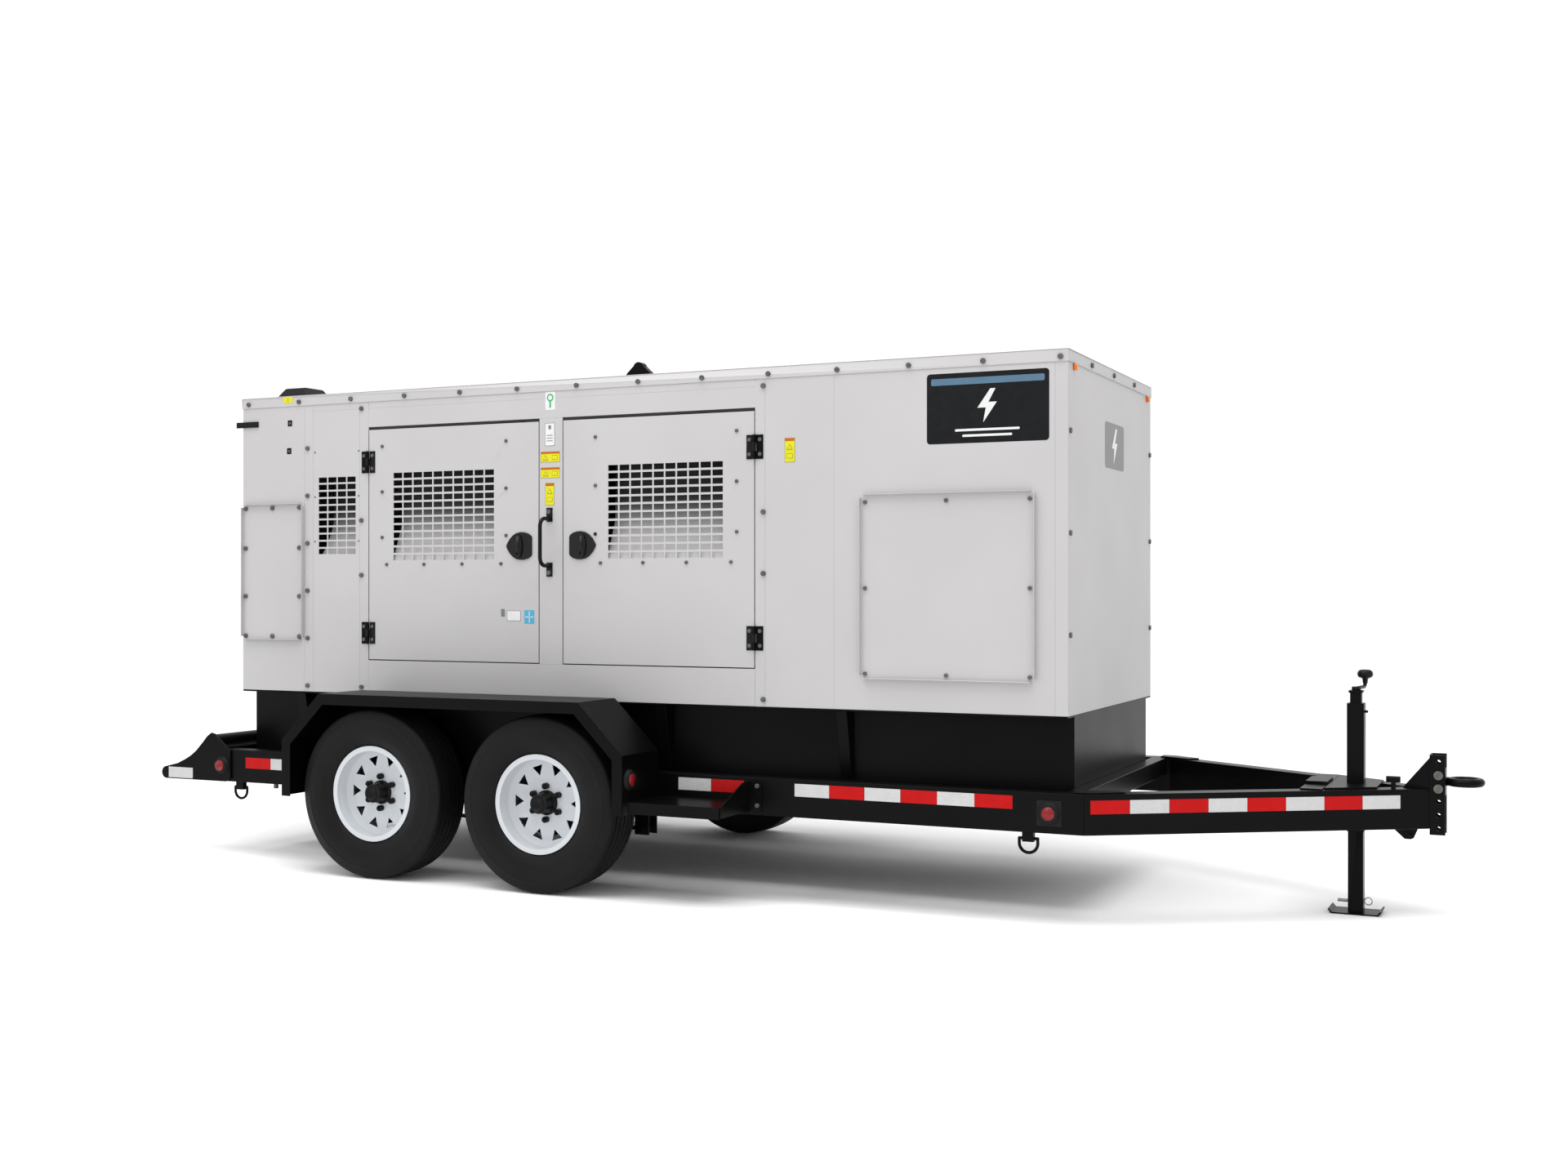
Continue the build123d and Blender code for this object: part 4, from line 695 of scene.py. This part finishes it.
def handle_rule(centres):
    """The screws in the feet of a grab handle are bright; the handle is black."""
    out = np.abs(centres[:, 1])
    level = near_any(np.abs(centres[:, 2] - handle_z), (handle_screw_offset,), handle_screw_reach)
    return ((out > handle_screw_y[0]) & (out < handle_screw_y[1]) & level).astype(int)


bevelled_copy("hinge_leaves", (frame_paint, zinc), leaf_rule, 0.0012)
bevelled_copy("rear_frame", (canopy_paint, black_plastic), arm_rule, 0.0015)
bevelled_copy("grab_handles", (black_plastic, zinc), handle_rule, 0.0008)
canopy_edges = {"access_covers": 0.0008, "roof": 0.0015, "near_wall": 0.0008, "far_wall": 0.0008}
canopy_edges["rear_door"] = 0.0012
for member, edge_width in canopy_edges.items():
    bevelled_copy(member, (canopy_paint,), one_finish, edge_width)

# %% Frame members with rolled edges
for member in ("side_rails", "tongue_rails"):
    bevelled_copy(member, (frame_paint,), one_finish, 0.0045)
for member in ("crossmembers", "rear_end_plates", "hitch_channel", "jack_outer_tube"):
    bevelled_copy(member, (frame_paint,), one_finish, 0.0025)
bevelled_copy("lunette_ring", (frame_paint,), one_finish, 0)
for member in ("near_fender", "far_fender", "side_steps", "spring_hangers", "tongue_fittings"):
    bevelled_copy(member, (frame_paint,), one_finish, 0.0015)
for member in ("base_tank", "lifting_eye", "tie_down_brackets", "axle_beams", "leaf_springs"):
    bevelled_copy(member, (frame_paint,), one_finish, 0.0018)
bevelled_copy("roof_cover", (black_plastic,), one_finish, 0.006)
bevelled_copy("fasteners", (zinc,), one_finish, 0.0016)
jack_x = 2.479
leg_half_side = 0.0290
pin_z = 0.044
pin_radius = 0.0065
pin_ring_x = 2.5105
foot_top = 0.026
marker_low = 1.9


def leg_rule(centres):
    """The cross pin and its ring are bright; everything else of the leg is black."""
    ring = centres[:, 0] > pin_ring_x
    pin = (np.abs(centres[:, 2] - pin_z) < pin_radius) & (np.abs(centres[:, 1]) < pin_radius)
    pin &= np.abs(centres[:, 0] - jack_x) > leg_half_side
    return ((ring & (centres[:, 2] > foot_top)) | pin).astype(int)


def lens_rule(centres):
    """Amber for the two markers on the front wall, red for the rest."""
    return (centres[:, 2] > marker_low).astype(int)


bevelled_copy("jack_leg", (frame_paint, galvanised), leg_rule, 0.0015)
bevelled_copy("lamp_lenses", (red_lens, amber_lens), lens_rule, 0)
bevelled_copy("lamp_grommets", (lamp_rubber,), one_finish, 0)
print("bevelled pieces done")

# %% [markdown]
# ## Jack crank
# The crank is one bent steel bar with a moulded knob. A circle carried along a rounded path gives
# the bar its soft bends, and the knob, hub and lead screw are profiles turned round their axes.


# %% Crank bar, knob, hub and screw
def tube_along(path, radius, count=20):
    """Circle carried along a path: centre + radius * (cos a * side + sin a * up).

    The side and up directions are square to the path at each point, and a flat face closes each
    end.
    """
    path = np.asarray(path, float)
    ahead = np.gradient(path, axis=0)
    ahead /= np.linalg.norm(ahead, axis=1)[:, None]
    reference = np.array([math.cos(0.3), -math.sin(0.3), 0.0])
    side = np.cross(ahead, reference)
    side /= np.linalg.norm(side, axis=1)[:, None]
    up = np.cross(side, ahead)
    angle = np.linspace(0, 2 * math.pi, count, endpoint=False)
    ring = np.cos(angle)[None, :, None] * side[:, None, :]
    ring = ring + np.sin(angle)[None, :, None] * up[:, None, :]
    points = (path[:, None, :] + radius * ring).reshape(-1, 3)
    faces = grid_faces(len(path), count, close_columns=True)
    last = (len(path) - 1) * count
    faces.append([last + k for k in range(count)])
    faces.append(list(range(count))[::-1])
    return points, faces


def rounded_path(corners, bend, steps=10):
    """Points along straight runs with each corner eased by a quadratic curve of the bend length."""
    corners = [np.asarray(c, float) for c in corners]
    found = [corners[0]]
    for before, corner, after in zip(corners, corners[1:], corners[2:]):
        enter = corner + (before - corner) / np.linalg.norm(before - corner) * bend
        leave = corner + (after - corner) / np.linalg.norm(after - corner) * bend
        t = np.linspace(0, 1, steps)[:, None]
        found += list((1 - t) ** 2 * enter + 2 * t * (1 - t) * corner + t**2 * leave)
    found.append(corners[-1])
    return np.array(found)


crank_low, crank_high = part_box("jack_crank")
jack_axis = np.array([jack_x, 0.0, 0.0])
crank_arm_z = 0.874
crank_lean = math.radians(9.0)
crank_reach = 0.127
bar_radius = 0.007
bar_bend = 0.022
knob_centre = jack_axis + crank_reach * np.array([math.sin(crank_lean), math.cos(crank_lean), 0.0])
bar_path = rounded_path(
    (
        jack_axis + np.array([0.0, 0.0, crank_arm_z]),
        knob_centre + np.array([0.0, 0.0, crank_arm_z]),
        knob_centre + np.array([0.0, 0.0, crank_high[2] - 0.012]),
    ),
    bar_bend,
)
knob_top = crank_high[2]
knob_profile = [(-0.0560, 0.0072), (-0.0520, 0.0092), (-0.0380, 0.0105), (-0.0330, 0.0150)]
knob_profile += [(-0.0310, 0.0230), (-0.0260, 0.0280), (-0.0180, 0.0300), (-0.0100, 0.0288)]
knob_profile += [(-0.0035, 0.0240), (0.0, 0.0180), (-0.0008, 0.0120), (-0.0040, 0.0050)]
knob_profile += [(-0.0048, 0.0002), (-0.0560, 0.0002)]
hub_profile = [(crank_arm_z + 0.0060, 0.0002), (crank_arm_z + 0.0060, 0.0150)]
hub_profile += [(crank_arm_z + 0.0042, 0.0170), (crank_arm_z - 0.0060, 0.0170)]
hub_profile += [(crank_arm_z - 0.0072, 0.0160), (crank_arm_z - 0.0072, 0.0110)]
hub_profile += [(crank_low[2], 0.0110), (crank_low[2], 0.0002)]
crank_parts = [
    tube_along(bar_path, bar_radius),
    turned_profile([(z + knob_top, r) for z, r in knob_profile], (*knob_centre[:2], 0.0), "z", 48),
    turned_profile(hub_profile[::-1], (*jack_axis[:2], 0.0), "z", 48),
]
points, faces = joined(crank_parts)
crank = make_mesh("jack_crank_swept", points, faces, black_plastic)
crank.data.set_sharp_from_angle(angle=math.radians(50))
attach(crank, "jack_crank_body")
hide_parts("jack_crank")
print("crank points", len(points), "box", crank_low, crank_high)

# %% [markdown]
# ## Baffle behind the small grille
# A curved sheet behind the fixed grille throws daylight back out at its foot, and its paint darkens
# with height as painted shade, so the upper cells read dark. It is one sheet rolled along its length:
# depth grows as the sine of the height up to a little over half way, and the sheet stands upright
# above.

# %% Wall baffle
baffle_x = (-2.074, -1.851)
baffle_z = (1.412, 1.790)
baffle_rows = 18
baffle_foot = 0.6620
baffle_turn = 0.0900
curved_part = 0.55
sheet_thickness = 0.0015
rise = np.linspace(0, 1, baffle_rows)
depth = baffle_foot - baffle_turn * np.sin(np.minimum(rise / curved_part, 1.0) * math.pi / 2)
sheet_z = baffle_z[0] + (baffle_z[1] - baffle_z[0]) * rise
front = np.stack([depth, sheet_z], -1)
back = np.stack([depth - sheet_thickness, sheet_z], -1)
loop = np.concatenate([front, back[::-1]])
count = len(loop)
low = np.stack([np.full(count, baffle_x[0]), -loop[:, 0], loop[:, 1]], -1)
high = np.stack([np.full(count, baffle_x[1]), -loop[:, 0], loop[:, 1]], -1)
faces = [face[::-1] for face in grid_faces(2, count, close_columns=True)]
for k in range(baffle_rows - 1):
    other = count - 1 - k
    faces.append([k, k + 1, other - 1, other])
    faces.append([k + count, other + count, other - 1 + count, k + 1 + count])
points, faces = joined(both_sides([(np.concatenate([low, high]), faces)]))
# The sheet's paint darkens with height as painted shade.
wall_baffle = make_mesh("wall_baffle_sheet", points, faces, baffle_shaded_paint)
wall_baffle.data.set_sharp_from_angle(angle=math.radians(40))
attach(wall_baffle, "trailer")
print("baffle rows", baffle_rows)

# %% [markdown]
# ## Tyres
# A trailer tyre is a rubber carcass with smooth sidewalls and a tread of straight grooves. It
# could be sculpted, but a profile turned round the axle is exact and light.

# %% Tyre surface
groove_count = 5
groove_reach = 0.060
groove_half_width = 0.0042
groove_depth = 0.0085
tread_crown = 0.9
tyre_segments = 240


def tyre_profile():
    """Closed outline of the carcass as (across, radius), outer skin first and then the inner."""
    skin = [(-0.0790, 0.1912), (-0.0797, 0.2000), (-0.0800, 0.2098), (-0.0880, 0.2140)]
    skin += [(-0.0985, 0.2300), (-0.1035, 0.2420), (-0.1048, 0.2440), (-0.1060, 0.2462)]
    skin += [(-0.1095, 0.2640), (-0.1115, 0.2850), (-0.1108, 0.3050), (-0.1085, 0.3200)]
    skin += [(-0.1090, 0.3225), (-0.1070, 0.3260), (-0.1030, 0.3400), (-0.0975, 0.3560)]
    skin += [(-0.0940, 0.3615), (-0.0880, 0.3655)]
    edge = groove_half_width
    floor_edge = edge * 0.7
    tread = []
    for centre in np.linspace(-groove_reach, groove_reach, groove_count):
        top = wheel_z - tread_crown * centre**2
        tread += [(centre - edge, top), (centre - floor_edge, top - groove_depth)]
        tread += [(centre + floor_edge, top - groove_depth), (centre + edge, top)]
    tread = [(-0.078, 0.3672), *tread, (0.078, 0.3672)]
    other = [(-y, r) for y, r in reversed(skin)]
    inside = [(0.0700, 0.2050), (0.0850, 0.2500), (0.0900, 0.2900), (0.0800, 0.3400)]
    inside += [(0.0550, 0.3520), (-0.0550, 0.3520), (-0.0800, 0.3400), (-0.0900, 0.2900)]
    inside += [(-0.0850, 0.2500), (-0.0700, 0.2050)]
    return np.array(skin + tread + other + inside)


for axle, x in axle_x.items():
    for side_name, side in (("near", -1), ("far", 1)):
        label = axle + "_" + side_name
        hub = (x, side * wheel_y, wheel_z)
        points, faces = turned_profile(tyre_profile(), hub, "y", tyre_segments)
        tyre = make_mesh("tyre_tread_" + label, points, faces, tyre_rubber)
        tyre.data.set_sharp_from_angle(angle=math.radians(32))
        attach(tyre, "wheel_" + label + "_body")
        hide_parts("tyre_" + label)
print("tyres: points each", len(points))

# %% [markdown]
# ## Reflective tape
# Conspicuity tape is a thin prismatic film in red and white blocks. Under its clear face a
# hexagonal cell pattern shows. Each block is a thin film with rolled corners; the cells are a
# Voronoi pattern at the real 4 mm pitch.


# %% Tape material
def tape_material(name, colour, tone):
    """Film finish whose colour is darkened along the edges of small cells."""
    material = finish_material(name, colour, tone, 0.30, fine=800, coarse=30, bump=0.00004, mirror=0.12)
    tree = material.node_tree
    shader = tree.nodes["Principled BSDF"]
    place = tree.nodes.new("ShaderNodeTexCoord")
    cells = tree.nodes.new("ShaderNodeTexVoronoi")
    cells.feature = "DISTANCE_TO_EDGE"
    set_inputs(cells, {"Scale": 240.0})
    edge = tree.nodes.new("ShaderNodeMapRange")
    set_inputs(edge, {"From Max": 0.10, "To Min": 0.72, "To Max": 1.0})
    tree.links.new(place.outputs["Object"], cells.inputs["Vector"])
    tree.links.new(cells.outputs["Distance"], edge.inputs["Value"])
    before = shader.inputs["Base Color"].links[0].from_socket
    times = tree.nodes.new("ShaderNodeMix")
    times.data_type = "RGBA"
    times.blend_type = "MULTIPLY"
    times.inputs[0].default_value = 1.0
    tree.links.new(before, times.inputs[mix_first])
    tree.links.new(edge.outputs["Result"], times.inputs[mix_second])
    tree.links.new(times.outputs[mix_colour], shader.inputs["Base Color"])
    return material


tape_red = tape_material("reflective_tape_red", (0.45, 0.0025, 0.0030), (0.42, 0.0020, 0.0025))
tape_white = tape_material("reflective_tape_white", (0.52, 0.52, 0.52), (0.49, 0.49, 0.493))

# %% Tape strips
tape_height = 0.0508
tape_length = 0.1524
film = 0.0006
film_corner = 0.0002
block_gap = 0.0004
rail_face = 0.7825


def tape_on_plane(name, x_edges, z_low, face_y, colours):
    """Blocks of film on an upright plane facing sideways, on both sides of the trailer."""
    for block, colour in enumerate(colours):
        part = box_between(
            x_edges[block] + block_gap,
            x_edges[block + 1] - block_gap,
            -face_y - film,
            -face_y,
            z_low,
            z_low + tape_height,
            film_corner,
        )
        points, faces = joined(both_sides([part]))
        strip = make_mesh(name + "_" + str(block), points, faces, colour, smooth=False)
        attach(strip, "trailer")


def alternating(count, first, second):
    """List of count items that are first and second by turns."""
    return [first if k % 2 == 0 else second for k in range(count)]


rail_start = 0.4268
rail_end = 1.3316
rail_blocks = 6
tape_on_plane(
    "tape_rail",
    [rail_start + (rail_end - rail_start) * k / rail_blocks for k in range(rail_blocks + 1)],
    0.4315,
    rail_face,
    alternating(rail_blocks, tape_white, tape_red),
)
tape_on_plane("tape_step", (-0.1014, 0.0507, 0.2015), 0.4325, rail_face, (tape_white, tape_red))
tape_on_plane("tape_rear", (-2.4259, -2.2741, -2.1220), 0.4140, rail_face, (tape_red, tape_white))
tape_on_plane("tape_tail", (-2.8987, -2.7448), 0.3515, rail_face + 0.011, (tape_white,))
tongue_tape_z = (0.4262, 0.4770)
tongue_tape_from = 0.024
tongue_start = np.array([1.606, -0.7825])
tongue_end = np.array([2.7494, -0.0445])
tongue_direction = (tongue_end - tongue_start) / np.linalg.norm(tongue_end - tongue_start)
tongue_outward = np.array([tongue_direction[1], -tongue_direction[0]])


def tape_on_tongue(block, colour):
    """One block of film on the slanted outer face of the tongue rail."""
    start = tongue_tape_from + tape_length * block
    end = start + tape_length - block_gap
    points, faces = box_between(start + block_gap, end, 0, film, *tongue_tape_z, film_corner)
    plan = tongue_start + points[:, :1] * tongue_direction + points[:, 1:2] * tongue_outward
    placed = np.concatenate([plan, points[:, 2:]], 1)
    part = (placed, [face[::-1] for face in faces])
    points, faces = joined(both_sides([part]))
    strip = make_mesh("tape_tongue_" + str(block), points, faces, colour, smooth=False)
    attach(strip, "trailer")


for block, colour in enumerate(alternating(8, tape_red, tape_white)):
    tape_on_tongue(block, colour)

# %% [markdown]
# ## Labels and plates
# The canopy carries small stickers and a data placard. They are kept as plain sheets of the right
# size and colour with ruled panels and simple marks, and no words.


# %% Label makers
label_yellow = finish_material(
    "label_yellow", (0.58, 0.55, 0.012), (0.54, 0.51, 0.011), 0.38, coarse=30, mirror=0.15
)
label_orange = finish_material(
    "label_orange", (0.42, 0.10, 0.012), (0.38, 0.09, 0.011), 0.38, coarse=30, mirror=0.15
)
label_green = finish_material("label_green", (0.04, 0.36, 0.10), (0.03, 0.32, 0.09), 0.35, coarse=30)
label_white = finish_material("label_white", (0.62, 0.62, 0.62), (0.58, 0.58, 0.585), 0.35, coarse=30)
label_black = finish_material(
    "label_black", (0.005, 0.0055, 0.0065), (0.007, 0.0075, 0.0085), 0.40, coarse=30, mirror=0.12
)
label_grey = finish_material("label_grey", (0.13, 0.13, 0.135), (0.15, 0.15, 0.155), 0.40, coarse=30)
label_olive = finish_material("label_olive_ink", (0.20, 0.19, 0.03), (0.23, 0.22, 0.04), 0.40, coarse=30)
label_blue = finish_material("label_blue", (0.05, 0.33, 0.48), (0.05, 0.30, 0.45), 0.35, coarse=30)
label_slate = finish_material("label_slate_band", (0.06, 0.13, 0.20), (0.05, 0.115, 0.18), 0.38, coarse=20)
label_film = 0.0004


def flat_shape(outline, face, axis, thickness):
    """Closed outline in its plane, given a thickness outwards from the face.

    For axis "y" the outline is (x, z) on the near side and faces -Y; for axis "x" it is (y, z) on
    the front wall and faces +X.
    """
    outline = np.asarray(outline, float)
    count = len(outline)
    following = np.roll(outline, -1, 0)
    if np.sum(outline[:, 0] * following[:, 1] - outline[:, 1] * following[:, 0]) < 0:
        outline = outline[::-1]
    if axis == "y":
        front = np.stack([outline[:, 0], np.full(count, -face - thickness), outline[:, 1]], -1)
        back = front + np.array([0, thickness, 0])
    else:
        front = np.stack([np.full(count, face + thickness), outline[:, 0], outline[:, 1]], -1)
        back = front - np.array([thickness, 0, 0])
    points = np.concatenate([front, back])
    ring = list(range(count))
    sides = [[k, k + count, (k + 1) % count + count, (k + 1) % count] for k in ring]
    return points, [ring, [k + count for k in ring[::-1]], *sides]


def rounded_rectangle(x, z, width, height, corner):
    """Outline with quarter circles at its corners."""
    found = []
    for turn in range(4):
        sx = 1 if turn in (0, 3) else -1
        sz = 1 if turn in (0, 1) else -1
        centre = (x + sx * (width / 2 - corner), z + sz * (height / 2 - corner))
        for angle in np.linspace(turn * math.pi / 2, (turn + 1) * math.pi / 2, 6):
            found.append((centre[0] + corner * math.cos(angle), centre[1] + corner * math.sin(angle)))
    return found


def sticker(name, outline, material, layer=0, face=wall_face, axis="y", body="trailer"):
    """Thin film on a wall; each layer lies on the one below it."""
    points, faces = flat_shape(outline, face + layer * label_film, axis, label_film)
    made = make_mesh(name, points, faces, material, smooth=False)
    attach(made, body)


def panel(name, size, material, layer=0, **where):
    """Sticker with rounded corners; size is its middle, width, height and corner radius."""
    sticker(name, rounded_rectangle(*size), material, layer, **where)


def triangle(x, z, size):
    """Outline of an upright triangle."""
    return [(x - size / 2, z - size * 0.43), (x + size / 2, z - size * 0.43), (x, z + size * 0.43)]


def notice(name, x, z, width, height):
    """Yellow notice with an orange heading, an outlined triangle and a plain panel."""
    panel(name + "_back", (x, z, width, height, 0.003), label_olive)
    panel(name + "_sheet", (x, z, width - 0.004, height - 0.004, 0.003), label_yellow, 1)
    if height > width:
        head_z = z + height / 2 - 0.008
        panel(name + "_head", (x, head_z, width - 0.004, 0.011, 0.001), label_orange, 2)
        spots = ((x, z + height * 0.13), (x, z - height * 0.24))
        mark = width * 0.62
    else:
        head_z = z + height / 2 - 0.006
        panel(name + "_head", (x, head_z, width - 0.004, 0.008, 0.001), label_orange, 2)
        spots = ((x - width * 0.24, z - height * 0.06), (x + width * 0.24, z - height * 0.06))
        mark = height * 0.60
    inner = triangle(spots[0][0], spots[0][1] - mark * 0.03, mark * 0.70)
    sticker(name + "_triangle", triangle(*spots[0], mark), label_olive, 2)
    sticker(name + "_triangle_fill", inner, label_yellow, 3)
    panel(name + "_panel", (*spots[1], mark, mark * 0.72, 0.002), label_olive, 2)
    panel(name + "_panel_fill", (*spots[1], mark * 0.86, mark * 0.58, 0.002), label_yellow, 3)


roof_face = 0.6894
notice("notice_upper", -0.790, 1.836, 0.098, 0.047)
notice("notice_lower", -0.790, 1.767, 0.098, 0.047)
notice("notice_tall", -0.792, 1.674, 0.046, 0.098)
notice("notice_front", 0.361, 1.826, 0.046, 0.100)
panel("notice_roof_sheet", (-2.252, 2.1526, 0.057, 0.028, 0.002), label_yellow, face=roof_face)
panel("notice_roof_line", (-2.252, 2.1526, 0.003, 0.022, 0.001), label_olive, 1, face=roof_face)

# %% Lifting mark, inspection plate, socket marks and small plates
panel("lifting_mark_sheet", (-0.790, 2.080, 0.050, 0.078, 0.003), label_white)
panel("lifting_mark_ring", (-0.790, 2.094, 0.034, 0.034, 0.0169), label_green, 1)
panel("lifting_mark_gap", (-0.790, 2.094, 0.020, 0.020, 0.0099), label_white, 2)
panel("lifting_mark_stem", (-0.790, 2.064, 0.009, 0.028, 0.003), label_green, 1)
panel("plate_border", (-0.792, 1.934, 0.050, 0.100, 0.003), label_grey)
panel("plate_sheet", (-0.792, 1.934, 0.046, 0.096, 0.003), label_white, 1)
panel("plate_dot", (-0.792, 1.965, 0.014, 0.018, 0.005), label_grey, 2)
for row in range(3):
    panel("plate_rule_" + str(row), (-0.792, 1.930 - 0.012 * row, 0.030, 0.003, 0.001), label_grey, 2)
for name, x, z in (("upper", -2.243, 2.0426), ("lower", -2.248, 1.9116)):
    panel("wall_stop_" + name, (x, z, 0.027, 0.029, 0.003), black_plastic)
    panel("wall_stop_ring_" + name, (x, z, 0.012, 0.012, 0.0055), zinc, 1)
door_body = "door_rear_near_body"
for name, size, material, layer in (
    ("door_mark_dark", (-1.037, 1.155, 0.020, 0.034, 0.003), label_grey, 0),
    ("door_mark_pale", (-0.979, 1.142, 0.072, 0.046, 0.003), label_grey, 0),
    ("door_mark_pale_fill", (-0.979, 1.142, 0.068, 0.042, 0.003), label_white, 1),
    ("door_mark_blue", (-0.898, 1.1375, 0.052, 0.060, 0.003), label_blue, 0),
    ("door_mark_blue_bar", (-0.898, 1.1375, 0.004, 0.050, 0.001), label_white, 1),
    ("door_mark_blue_cross", (-0.898, 1.1375, 0.042, 0.004, 0.001), label_white, 1),
):
    panel(name, size, material, layer, body=door_body)

# %% Side placard: dark rounded panel, a plain slate band, a bolt mark and two rules
placard_x = 1.1995
placard_z = 1.963
placard_width = 0.493
placard_height = 0.274
panel("placard_panel", (placard_x, placard_z, placard_width, placard_height, 0.014), label_black)
band_size = (placard_x, placard_z + 0.104, placard_width - 0.036, 0.026, 0.006)
panel("placard_band", band_size, label_slate, 1)


def bolt_outline(x, z, size):
    """Plain zigzag mark, as on any electrical cabinet."""
    shape = [(0.10, 0.5), (-0.30, -0.06), (-0.04, -0.06), (-0.12, -0.5)]
    shape += [(0.30, 0.10), (0.04, 0.10), (0.26, 0.5)]
    return [(x + u * size, z + v * size) for u, v in shape]


sticker("placard_bolt", bolt_outline(placard_x, placard_z + 0.006, 0.130), label_white, 1)
for row, width in enumerate((0.26, 0.20)):
    rule_size = (placard_x, placard_z - 0.086 - 0.022 * row, width, 0.009, 0.003)
    panel("placard_rule_" + str(row), rule_size, label_white, 1)

# %% Badge on the front wall
front_face = 1.519
crossmember_face = 1.585
on_front = {"face": front_face, "axis": "x"}
panel("badge_panel", (0.027, 1.8515, 0.318, 0.189, 0.020), label_grey, **on_front)
sticker("badge_bolt", bolt_outline(0.027, 1.8515, 0.150), label_white, 1, **on_front)
label_size = (-0.600, 0.399, 0.100, 0.060, 0.003)
panel("crossmember_label", label_size, label_white, face=crossmember_face, axis="x")
print("labels and plates done")

# %% [markdown]
# ## Panel seams and door seals
# The side is made of folded panels butted on frame posts. Each joint is a hairline shadow, and a
# black rubber seal shows in the gap round every door.

# %% Seams and seals
seam_grey = finish_material("seam_shadow", (0.30, 0.30, 0.305), (0.33, 0.33, 0.335), 0.6, coarse=8)
seam_half = 0.0008
seam_line = 0.0006
seam_x = (-2.1550, -2.1035, -1.8300, 0.2489, 0.5567, 1.4685)
seam_z = (0.7800, 2.1215)
beam_z = 2.0920
seam_corner = 0.0001
parts = []
for x in seam_x:
    parts.append(box_between(x - seam_half, x + seam_half, -0.68625, -0.6858, *seam_z, seam_corner))
for x0, x1 in ((-2.1035, -1.8300), (-1.7810, 0.2044)):
    line_z = (beam_z - seam_line, beam_z + seam_line)
    parts.append(box_between(x0, x1, -0.68618, -0.6858, *line_z, seam_corner))
points, faces = joined(both_sides(parts))
seams = make_mesh("panel_seams", points, faces, seam_grey, smooth=False)
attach(seams, "trailer")
seal = finish_material("door_seal_rubber", (0.012, 0.012, 0.012), (0.016, 0.016, 0.016), 0.7, fine=900)
seal_low = 0.932
seal_high = 2.006
seal_width = 0.003
seal_lap = 0.0002
seal_corner = 0.0004
upright = (-0.6800, -0.6600, seal_low, seal_high, seal_corner)
parts = []
for x0, x1 in ((-1.7810, -0.8455), (-0.7277, 0.2044)):
    parts.append(box_between(x0 - seal_lap, x0 + seal_width, *upright))
    parts.append(box_between(x1 - seal_width, x1 + seal_lap, *upright))
    parts.append(box_between(x0, x1, -0.6800, -0.6590, 1.9955, seal_high, seal_corner))
    parts.append(box_between(x0, x1, -0.6800, -0.6590, seal_low, 0.9350, seal_corner))
points, faces = joined(both_sides(parts))
seals = make_mesh("door_seals", points, faces, seal, smooth=False)
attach(seals, "trailer")
print("seams", len(seam_x), "seal strips", len(parts))

# %% [markdown]
# ## Studio
# A wide pale floor that meets a bright surround with no visible join, one broad key light from the
# upper left and one overhead keep the white canopy even and the black frame readable.

# %% Floor, lights and camera
floor_reach = 420.0
floor_rings = 24
floor_spokes = 96
ring_radius = floor_reach * np.linspace(0, 1, floor_rings + 1)[1:] ** 2
spoke = np.linspace(0, 2 * math.pi, floor_spokes, endpoint=False)
floor_x = ring_radius[:, None] * np.cos(spoke)
floor_y = ring_radius[:, None] * np.sin(spoke)
floor_points = np.stack([floor_x, floor_y, np.zeros_like(floor_x)], -1)
floor_faces = [ring[::-1] for ring in grid_faces(floor_rings, floor_spokes, close_columns=True)]
floor_faces.append(list(range(floor_spokes)))
floor_paint = finish_material(
    "studio_floor", (0.93, 0.93, 0.93), (0.925, 0.925, 0.925), 0.80, bump=0.0, mirror=0.1
)
floor = make_mesh("studio_floor", floor_points, floor_faces, floor_paint, smooth=False)


def area_light(name, place, aim, size, power):
    """Rectangular lamp at a place, turned to face its aim."""
    data = bpy.data.lights.new(name, "AREA")
    data.energy = power
    data.shape = "RECTANGLE"
    data.size = size[0]
    data.size_y = size[1]
    lamp = bpy.data.objects.new(name, data)
    bpy.context.scene.collection.objects.link(lamp)
    lamp.location = place
    direction = np.asarray(aim, float) - np.asarray(place, float)
    across = math.atan2(-direction[0], direction[1])
    down = math.atan2(math.hypot(direction[0], direction[1]), -direction[2])
    lamp.rotation_euler = (down, 0, across)


area_light("key_light", (-7.0, -9.0, 9.5), (0, 0, 1.0), (4, 4), 130)
area_light("top_light", (0.5, -2.6, 8.5), (0.5, -1.0, 0), (9, 5), 620)
world = bpy.data.worlds.new("studio_surround")
bpy.context.scene.world = world
world.use_nodes = True
surround = world.node_tree.nodes["Background"]
set_inputs(surround, {"Color": (1.0, 1.0, 1.0, 1.0), "Strength": 1.10})
bpy.context.scene.view_settings.view_transform = "Standard"

camera_data = bpy.data.cameras.new("studio_camera")
camera_data.lens = 38.49
camera_data.sensor_width = 36.0
camera = bpy.data.objects.new("studio_camera", camera_data)
bpy.context.scene.collection.objects.link(camera)
camera.location = (3.2328, -6.8693, 1.2647)
camera.rotation_euler = (math.radians(90), 0, math.radians(25.11))
bpy.context.scene.camera = camera
